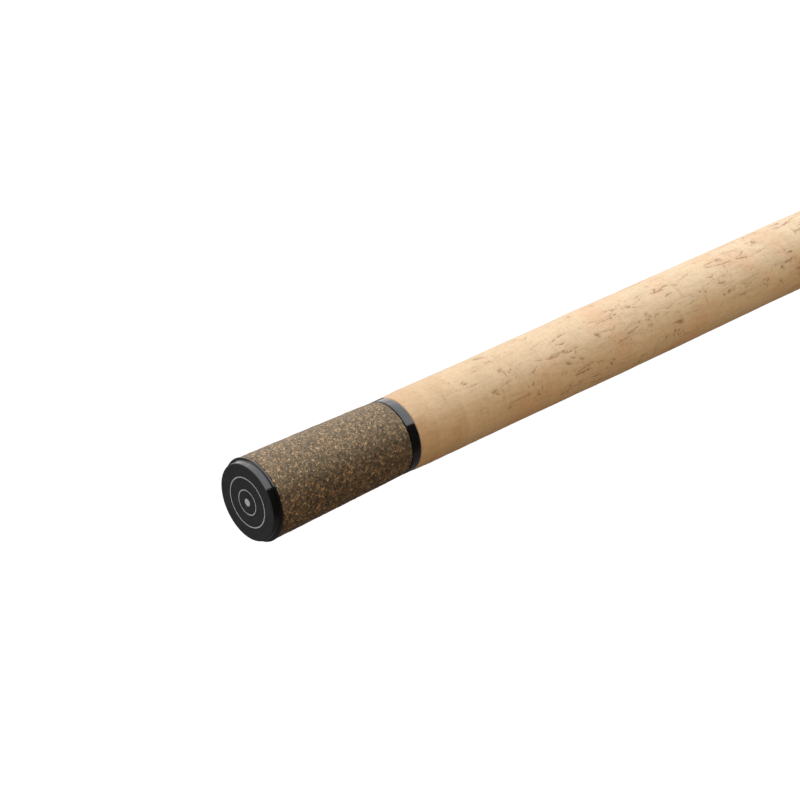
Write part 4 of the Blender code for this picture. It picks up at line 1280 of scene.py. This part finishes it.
def line_guide(spec, profile, frame_metal, ceramic_ring, thread, body):
    name, x, outer_r, inner_r, low, wire_r, foot_in, foot_out = spec
    blank_r = max(float(along(profile, x - foot_out - 3)),
                  float(along(profile, x + foot_out + 3)))
    width = 2.4 + outer_r * 0.03
    pieces = [ring_arrays(x, outer_r, inner_r, low, width)]
    insert(name + "_ceramic", name + "_insert", x, outer_r, inner_r, low, width,
           ceramic_ring, body)
    for side in (1, -1):
        xs = sorted((x + side * foot_in, x + side * foot_out))
        pieces.append(foot_arrays(*xs, side > 0, blank_r))
    start_z = -(blank_r + GAP) - wire_r - 0.05
    mid_r = outer_r - wire_r
    spread = math.radians(52)
    for sign in (1, -1):
        start = np.array((x + foot_in + 1.2, sign * 0.35, start_z))
        end = np.array((x, sign * mid_r * math.sin(spread), -low + mid_r * math.cos(spread)))
        run = outer_r * 0.55
        leave = start + np.array((-foot_in * 0.55, sign * outer_r * 0.12, -low * 0.02))
        arrive = end + np.array((foot_in * 0.20, -sign * run * math.cos(spread),
                                 run * math.sin(spread)))
        pieces.append(swept(bezier(start, leave, arrive, end), wire_r))
    start = np.array((x - foot_in - 1.2, 0.0, start_z))
    end = np.array((x - 0.1, 0.0, -low + mid_r))
    leave = start + np.array((foot_in * 0.45, 0.0, -0.2))
    arrive = end + np.array((-foot_in * 0.30, 0.0, (start_z - end[2]) * 0.55))
    pieces.append(swept(bezier(start, leave, arrive, end), wire_r * 1.1))
    install(name + "_metal", joined(pieces), frame_metal, name + "_frame",
            body, 50.0)
    for side, label in ((1, "front"), (-1, "rear")):
        a, b = sorted((x + side * (foot_in + 2.6), x + side * (foot_out + 2.4)))
        guide_whipping(f"{name}_{label}_thread", f"{name}_{label}_whipping", a, b, side > 0,
                       blank_r, profile, thread, body)


def tip_guide(frame_metal, ceramic_ring, thread):
    x0, x1 = 3640.0, 3661.0
    x, outer_r, inner_r, low = 3664.5, 8.0, 5.6, 9.6
    sleeve_r = float(along(TIP_PROFILE, x0)) + GAP + 0.45
    pieces = [ring_arrays(x, outer_r, inner_r, low, 2.4, 96),
              turned([(x0, 0.0, 0), (x0, sleeve_r, 0.2), (x0 + 1.6, sleeve_r, 0.1),
                      (x0 + 1.9, sleeve_r - 0.12, 0.1), (x1 - 1.0, 2.0, 0.5),
                      (x1, 1.35, 0.4), (x1, 0.0, 0)], None, 56)[:3]]
    start, stop = np.array((x1 - 2.5, 0.0, -0.2)), np.array((x, 0.0, -low + outer_r - 1.0))
    pieces.append(swept(bezier(start, start + np.array((2.5, 0.0, 0.0)),
                               stop + np.array((0.0, 0.0, 1.4)), stop), 1.0))
    reach = outer_r - 0.65
    for sign in (1, -1):
        start = np.array((x0 + 5.0, sign * 1.5, -1.2))
        stop = np.array((x - 0.1, sign * reach * math.sin(math.radians(100)),
                         -low + reach * math.cos(math.radians(100))))
        pieces.append(swept(bezier(start, start + np.array((6.0, sign * 1.2, -1.6)),
                                   stop + np.array((-6.0, 0.0, 1.5)), stop), 0.6))
    install("tip_guide_metal", joined(pieces), frame_metal, "tip_guide_frame",
            "tip_section", 50.0)
    insert("tip_guide_ceramic", "tip_guide_insert", x, outer_r, inner_r, low, 2.4,
           ceramic_ring, "tip_section")
    round_whipping("tip_guide_thread", "tip_guide_whipping", 3630.6, 3639.6, TIP_PROFILE,
                   thread, "tip_section", 1.4)


# --------------------------------------------------------------------- main
def main():
    camera()
    studio()
    for node in frame["nodes"].values():
        node.data.materials.clear()
    for material in list(bpy.data.materials):
        if material.users == 0:
            bpy.data.materials.remove(material)
    cork, composite = natural_cork(), composite_cork()
    black, gloss, pale = moulded_black(), gloss_black(), pale_inlay()
    blank, thread = carbon(), thread_wrap()
    steel = dark_metal("hood_steel", (0.235, 0.222, 0.212), 0.30)
    trim = dark_metal("trim_steel", (0.58, 0.555, 0.53), 0.22)
    guide = dark_metal("guide_frame", (0.058, 0.055, 0.053), 0.28, (1.0, 1.0, 1.0))
    ring, arbor = ceramic(), bare_tube("arbor", (0.30, 0.27, 0.22))
    spigot = bare_tube("spigot_carbon", (0.030, 0.030, 0.033))
    by_slot = {"cap_black": black, "composite_cork": composite, "ring_black": gloss,
               "natural_cork": cork, "collar_black": gloss, "seat_body": black,
               "arbor": arbor, "hood_steel": steel, "nut_black": black,
               "trim_steel": trim, "carbon_blank": blank, "spigot_carbon": spigot,
               "whipping": thread, "guide_frame": guide, "guide_ceramic": ring}
    for row in frame["record"]["subparts"]:
        mesh = frame["nodes"][row["node"]].data
        mesh.materials.clear()
        mesh.materials.append(by_slot[row["material_slot"]])
    butt_cap(black, gloss, pale)
    butt_grip(composite)
    cork_grip("rear_grip", REAR_GRIP, REAR_PROFILE, 2024, 285.0, cork)
    cork_grip("fore_grip", FORE_GRIP, FORE_PROFILE, 77, 590.0, cork)
    collars(gloss)
    reel_seat_body(black)
    hood("fixed_hood_shell", "fixed_hood", *FIXED_HOOD_X, True, steel, "butt_section")
    hood("sliding_hood_shell", "sliding_hood", *SLIDING_HOOD_X, False, steel,
         "sliding_hood", ((537.0, -1.2, 10.4), (549.0, 1.2, 12.0)))
    lock_nut(black, trim)
    blanks(blank, spigot)
    round_whipping("ferrule_thread_butt", "ferrule_whipping_butt", 1818.0, 1849.0,
                   BLANK_PROFILE, thread, "butt_section")
    round_whipping("ferrule_thread_tip", "ferrule_whipping_tip", 1860.0, 1892.0,
                   TIP_PROFILE, thread, "tip_section")
    line_guide(GUIDES[0], BLANK_PROFILE, guide, ring, thread, "butt_section")
    for spec in GUIDES[1:]:
        line_guide(spec, TIP_PROFILE, guide, ring, thread, "tip_section")
    tip_guide(guide, ring, thread)


main()
